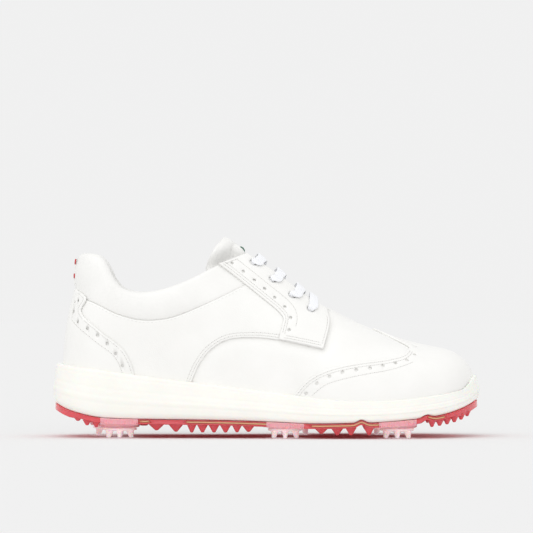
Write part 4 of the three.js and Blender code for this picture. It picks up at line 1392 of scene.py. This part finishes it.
def sock_dish(x, y):
    """The sockliner's top, with a shallow cup at the heel."""
    return sock_top(x) - 0.9 * np.exp(-(((x - 45) / 30) ** 2 + (y / 20) ** 2))


ring_at = np.linspace(0, 2, 401)[:-1]
sock_ring = skin(ring_at, np.full(400, 0.03), np.full(400, LINING[0] - 0.9))[:, :2]
sockliner = slab("sockliner_foam", sock_ring, [], lambda x, y: sock_top(x) - SOCKLINER_THICKNESS, sock_dish,
                 pitch=4.0, edge=0.9)
place(sockliner, "shoe", SOCK_CLOTH, "sockliner")

RINGS = 520
ring_t = np.linspace(0, 2, RINGS + 1)[:-1]
edge_x, _ = outline(ring_t)
LIP_DEPTH = np.array([(50, 2.75), (62, 1.25), (92, 1.25), (102, 0.2), (160, 0.3), (172, 2.7), (300, 2.75)])
GROOVES = ((0.3, 0.2), (0.46, 0.2), (0.62, 0.2), (0.9, 0.4))  # how far up the midsole's wall, depth
WALL_INSETS = np.array([(0, 2.2), (0.05, 1.1), (0.12, 0.3), (0.4, 0.0), (0.72, 1.2), (0.93, 1.9), (1.0, 2.9)])


def height_on_skin(t, z, depth):
    """The a at which the upper's skin at that depth has height z, for each t."""
    table = np.linspace(0, 0.5, 61)
    tt, aa = np.meshgrid(t, table, indexing="ij")
    zs = skin(tt, aa, depth[:, None] * np.ones_like(aa))[..., 2]
    return np.array([np.interp(zi, row, table) for zi, row in zip(z, zs)])


rim_z = rim_line(edge_x)
low_z = sole_line(edge_x) + 0.1
notch_z = sole_edge(edge_x) - sole_line(edge_x)
lip = np.interp(edge_x, *LIP_DEPTH.T)
lip_a = height_on_skin(ring_t, rim_z - 0.5, lip)
wall = []  # rings round the shoe: up the outside, over the lip, down the inside and back under


def wall_ring(inset, z):
    """A ring round the shoe, inset from the outline."""
    x, y = outline(ring_t, inset)
    return np.stack([x, y, z], -1)


for k in range(37):
    f = k / 36
    inset = float(np.interp(f, *WALL_INSETS.T))
    inset += sum(depth * math.exp(-(((f - at) / 0.016) ** 2)) for at, depth in GROOVES)
    wall.append(wall_ring(inset, mix(low_z, rim_z, f) + notch_z * max(1 - f / 0.3, 0) ** 2))
lip_top = skin(ring_t, lip_a, lip + 0.9)
lip_top[:, 2] = rim_z - 0.15
wall += [mix(wall[-1], lip_top, 0.5), lip_top, *(skin(ring_t, lip_a * f, lip) for f in (1.0, 0.5, 0.0))]
wall += [wall_ring(14.0, lasting_line(edge_x) - 3.0), wall_ring(14.0, sole_edge(edge_x) + 0.15),
         wall_ring(4.0, sole_edge(edge_x) + 0.1)]
midsole = outward(loft("midsole_eva", np.stack(wall, axis=1), ring_closed=True))
place(midsole, "shoe", FOAM, "midsole")

holes = [(x, y, POD_RADIUS + 0.4) for x, y in SPIKES.values()]


def below(d):
    """The height d under the line between midsole and outsole."""
    return lambda x, y: sole_edge(x) - d


def tread(x, y):
    """Raised cross ribs on the outsole's underside, with a smooth waist under the arch."""
    rib_wave = np.clip(np.sin((x + 0.35 * np.abs(y)) * 2 * math.pi / 9.0) * 4 - 2.2, 0, 1)
    return 0.4 * rib_wave * np.clip(ease((x - 128) / 10) + ease((92 - x) / 10), 0, 1)


groove = mix(1.5, 3.4, gold_shows(edge_x))
end_drop = 1.3 * ease((20 - edge_x) / 10) + 1.6 * ease((edge_x - 280) / 8)
RIM_SECTION = (  # inset, drop, share of end_drop
    (1.8, 0.3, 0), (1.35, 0.45, 0), (1.3, 0.9, 0), (groove, 1.05, 0), (groove, 2.4, 0), (1.4, 2.6, 0.6),
    (1.4, 3.3, 1.0), (1.9, 3.65, 1.0), (5.2, 3.65, 0.4), (5.2, 0.3, 0),
)
outsole_ring = outward(loft("outsole_ring", np.stack([
    wall_ring(inset, sole_edge(edge_x) - drop - share * end_drop) for inset, drop, share in RIM_SECTION
], axis=1), ring_closed=True))
outsole = slab("outsole_red", plan_loop(4.6), holes, below(3.6), below(2.7), pitch=2.6, edge=0.15,
               relief=tread)


def frustum(centre, half_top, half_low, z_top, z_low):
    """A wedge with rounded corners: sections from its root to its narrow tip."""
    sections = []
    for f in (0.0, 0.45, 0.8, 0.95, 1.0):
        hx, hy = mix(half_top[0], half_low[0], f), mix(half_top[1], half_low[1], f)
        if f == 1.0:
            hx, hy = hx * 0.55, hy * 0.55
        ring = []
        for k in range(12):
            a = (k + 0.5) * math.pi / 6
            ring.append((centre[0] + hx * np.sign(math.cos(a)) * abs(math.cos(a)) ** 0.6,
                         centre[1] + hy * np.sign(math.sin(a)) * abs(math.sin(a)) ** 0.6,
                         mix(z_top, z_low, f)))
        sections.append(ring)
    return sections


LUG_ROOT = 3.2  # how far below the line between midsole and outsole a tooth or lug starts
TEETH = [  # x, width, height of the tip over the ground
    (73.5, 12, 5.5), (87, 11, 4.5), (98, 7, 4), (105.5, 8, 4), (113.5, 8, 4), (121.5, 8, 4), (129.5, 7, 4.2),
    (137.5, 9, 4.5), (188, 10, 3.5), (199, 9, 2.6), (208.5, 8, 2.6), (221, 8, 2.6), (265, 6, 7.9),
    (270.4, 6, 8.6), (275.8, 6, 9.5), (281, 6, 10.8), (286, 6, 12.4), (290.5, 5, 14.6), (31.5, 6, 7.6),
    (25, 6.5, 8.8), (18.5, 6, 11.8),
]
LUGS = [  # x, y, size
    (56, 4, 5), (64, -12, 4.5), (62, 14, 4.5), (28, -4, 5), (150, 4, 5), (176, 2, 5), (190, -14, 4.5),
    (192, 16, 4.5), (206, 0, 5.5), (224, 4, 5), (252, -6, 5), (256, 12, 4.5), (268, -2, 5),
]


def edge_y(x, side):
    """How far from the middle the outsole's wall is at x, on the outer (-1) or inner (1) side."""
    ts = np.linspace(0, 1, 400) if side < 0 else 2 - np.linspace(0, 1, 400)
    px, py = outline(ts)
    return abs(float(py[np.argmin(np.abs(px - x))])) - 1.6


parts = [outsole, outsole_ring]
for x, width, tip in TEETH:
    for side in (-1, 1):
        y = side * (edge_y(x, side) - 4.4)
        sections = frustum((x, y), (width * 0.5, 3.9), (0.9, 1.0), float(sole_edge(x)) - LUG_ROOT, tip)
        parts.append(outward(loft(f"tooth_{x}_{side}", sections)))
for x, y, size in LUGS:
    z = float(sole_edge(x))
    sections = frustum((x, y), (size, size * 0.8), (size * 0.5, size * 0.35), z - LUG_ROOT, z - 5.6)
    parts.append(outward(loft(f"lug_{x}_{y}", sections)))


def merge(parts):
    """Joins pieces' meshes into the first."""
    bm = bmesh.new()
    for p in parts:
        bm.from_mesh(p.data)
    bm.to_mesh(parts[0].data)
    bm.free()
    for p in parts[1:]:
        bpy.data.objects.remove(p)
    parts[0].data.polygons.foreach_set("use_smooth", [True] * len(parts[0].data.polygons))
    return parts[0]


outsole = sharpen(merge(parts), 50)
place(outsole, "shoe", RED_TPU_PAINTED_GLOW, "outsole")
plate_x, plate_y = outline(ring_t, mix(5.6, 1.9, gold_shows(edge_x)))
plate = slab("shank_plate_gold", np.stack([plate_x, plate_y], -1), holes, below(2.35), below(1.1), pitch=4.0,
             edge=0.15)
place(plate, "shoe", GOLD, "shank_plate")


def lathe(centre, profile_rz, sides, rib_depth=None):
    """A turned ring: a closed (radius, z) profile about an upright axis, with ribs cut into it if asked."""
    sections = []
    for k in range(sides):
        a = k * 2 * math.pi / sides
        row = []
        for i, (r, z) in enumerate(profile_rz):
            r = r - (rib_depth(k, i) if rib_depth else 0)
            row.append((centre[0] + r * math.cos(a), centre[1] + r * math.sin(a), z))
        sections.append(row)
    return sections


SKIRT_HALF = 13.2  # how far a pod's skirt reaches along the shoe from its spike
SKIRT_STEP = 0.4
DISC_TOP = POD_BASE_Z - 0.3
DISC = [  # radius, height from the top of a spike's disc
    (0.01, 4.0), (4.4, 4.0), (4.6, 0.1), (11.2, 0), (11.9, -0.5), (12.0, -1.1), (11.5, -1.7), (9.5, -1.95),
    (5.2, -2.3), (4.0, -1.5), (0.01, -1.4),
]


def pod_barrel(x, y, name):
    """The ribbed pod round a spike's receptacle."""
    top = float(sole_edge(x)) - 0.5
    low = POD_BASE_Z
    section = [(8.7, top), (8.7, low + 0.3), (9.2, low), (12.6, low), (13.5, low + 0.3), (13.9, low + 1.0),
               (14.0, mix(low, top, 0.5)), (13.9, top - 0.4), (13.6, top)]
    rings = lathe((x, y), section, 120, lambda k, i: 0.55 if k % 5 in (0, 1) and i >= 4 else 0.0)
    return outward(loft(name, rings, ring_closed=True))


def pod_skirt(x, y, name):
    """The pod's outer part, which runs out to the shoe's edge and up its wall."""
    side = -1 if y < 0 else 1
    sections = []
    for dx in np.linspace(-SKIRT_HALF, SKIRT_HALF, 67):
        bulge = 1 - (dx / 13.6) ** 2
        rib_cut = 0.35 if int(round((dx + SKIRT_HALF) / SKIRT_STEP)) % 3 == 0 else 0.0
        far = edge_y(x + dx, side) + 0.75 - 0.6 * (1 - bulge) ** 3
        near = abs(y) + 9 * math.sqrt(max(bulge, 0.05))
        line = float(sole_edge(x + dx))
        base = mix(line - 3.9, POD_BASE_Z + 0.6, bulge ** 0.5)
        low_far = mix(far, abs(y) + POD_RADIUS, 0.55 * bulge ** 0.5)
        sections.append([(x + dx, side * h, z) for h, z in (
            (near, line - 0.6), (far - 0.5, line - 0.15), (far, line - 0.5), (far - rib_cut, line - 2.0),
            (far - 0.2 - rib_cut, line - 3.85), (mix(far, low_far, 0.7), mix(line - 3.85, base, 0.6)),
            (low_far - 0.8, base - 0.05), (near, base))])
    return outward(loft(name, sections))


def spike_leg(k):
    """One of a spike's six legs, from its disc down to the ground."""
    turn = (k + 0.5) * math.pi / 3
    sections = []
    for f in (0.0, 0.15, 0.35, 0.6, 0.8, 0.92, 1.0):
        z = mix(DISC_TOP - 0.7, 0.02, f)
        r = mix(7.9, 9.2, f)
        long, wide = (0.8, 0.7) if f == 1.0 else (mix(3.4, 1.5, f ** 0.7), mix(2.7, 1.3, f ** 0.8))
        ring = []
        for j in range(14):
            b = j * 2 * math.pi / 14
            u, v = r + long * math.cos(b), wide * math.sin(b)
            ring.append((u * math.cos(turn) - v * math.sin(turn), u * math.sin(turn) + v * math.cos(turn), z))
        sections.append(ring)
    return outward(loft(f"leg_{k}", sections))


for where, (x, y) in SPIKES.items():
    pod = merge([pod_barrel(x, y, f"pod_{where}_ribbed"), pod_skirt(x, y, f"skirt_{where}")])
    place(sharpen(pod, 35), "shoe", PINK_TPU_PAINTED_GLOW, f"pod_{where}")

    disc = lathe((0, 0), [(r, DISC_TOP + h) for r, h in DISC], 72)
    star = merge([outward(loft(f"disc_{where}", disc, ring_closed=True)), *(spike_leg(k) for k in range(6))])
    star.data.transform(Matrix.Translation((x / 1000, y / 1000, 0)))
    star.name = f"spike_{where}_star"
    place(sharpen(star, 50), f"spike_{where}", CLEAR_TPU_PAINTED_GLOW, f"spike_{where}")

# ---------------------------------------------------------------- stitching


STITCH, STITCH_GAP, FIRST_STITCH, LAST_STITCH = 2.0, 0.75, 0.6, 0.4
STITCH_RADIUS, NEEDLE_RADIUS = 0.27, 0.3
STATIONS = np.array([0, 0.15, 0.5, 0.85, 1.0])  # along one stitch
SIZES = np.array([0.35, 0.85, 1.0, 0.85, 0.35])
LIFTS = np.array([-0.22, 0.0, 0.08, 0.0, -0.22])


def walk(line, places):
    """The t and a of places along a line: places gives their distances along it for its whole length."""
    fine = resample(line, 0.002)
    path3 = surface(fine[:, 0], fine[:, 1])
    along = np.concatenate([[0], np.cumsum(np.linalg.norm(np.diff(path3, axis=0), axis=1))])
    at = places(along[-1])
    return np.interp(at, along, fine[:, 0]), np.interp(at, along, fine[:, 1])


def tube(points, faces, rings):
    """Adds one small closed tube through rings of points."""
    start, size = len(points), len(rings[0])
    for ring in rings:
        points += list(ring)
    for i in range(start, len(points) - size, size):
        faces += [(i + k, i + (k + 1) % size, i + size + (k + 1) % size, i + size + k) for k in range(size)]
    faces.append(tuple(start + k for k in range(size))[::-1])
    faces.append(tuple(len(points) - size + k for k in range(size)))


def sew(name, lines, finish):
    """Rows of short raised stitches laid along lines of (t, a), each with the depth that it lies at."""
    points, faces = [], []
    turn = np.arange(6) * 2 * math.pi / 6
    for line, depth in lines:
        t, a = walk(line, lambda whole: np.arange(
            FIRST_STITCH, whole - STITCH - LAST_STITCH, STITCH + STITCH_GAP)[:, None] + STITCH * STATIONS)
        centres, ups = skin(t, a, depth - 0.1 + np.broadcast_to(LIFTS, t.shape)), normals(t, a)
        for centre, up in zip(centres, ups):
            across = unit(np.cross(centre[-1] - centre[0], up))
            tube(points, faces, [
                c + (np.outer(np.cos(turn), u) + np.outer(np.sin(turn), v)) * STITCH_RADIUS * size
                for c, u, v, size in zip(centre, across, up, SIZES)
            ])
    place(outward(make_mesh(name, points, faces)), "shoe", finish)


def paint_needle_shade(name, lines, finish):
    """Small dark plugs set along each seam, one between each two stitches: painted shade standing in for the
    holes that the thread goes down.
    """
    points, faces = [], []
    turn = np.arange(7) * 2 * math.pi / 7
    for line, depth in lines:
        t, a = walk(line, lambda whole: np.arange(
            FIRST_STITCH + STITCH + STITCH_GAP / 2, whole - STITCH - LAST_STITCH, STITCH + STITCH_GAP))
        for c, up in zip(skin(t, a, np.full(len(t), depth - 0.12)), normals(t, a)):
            u = unit(np.cross(up, [0.0, 0.0, 1.0]))
            v = np.cross(up, u)
            round_it = [(u * math.cos(b) + v * math.sin(b)) * NEEDLE_RADIUS for b in turn]
            tube(points, faces, [[c + w - up * 0.35 for w in round_it], [c + w * 0.8 for w in round_it]])
    place(outward(make_mesh(name, points, faces)), "shoe", finish)


sew("upper_stitching", stitch_lines, THREAD)
paint_needle_shade("needle_shade_dots", stitch_lines, NEEDLE_SHADE)

# ---------------------------------------------------------------- CAD nodes that keep their shape

KEPT = {"heel_counter": STIFFENER, "toe_puff": STIFFENER, "insole_board": BOARD}
KEPT.update({f"receptacle_{where}": NYLON for where in SPIKES})
for node, finish in KEPT.items():
    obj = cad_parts[node]
    if not obj.material_slots:
        obj.data.materials.append(finish)
    for s in obj.material_slots:
        s.material = finish

low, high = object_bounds()
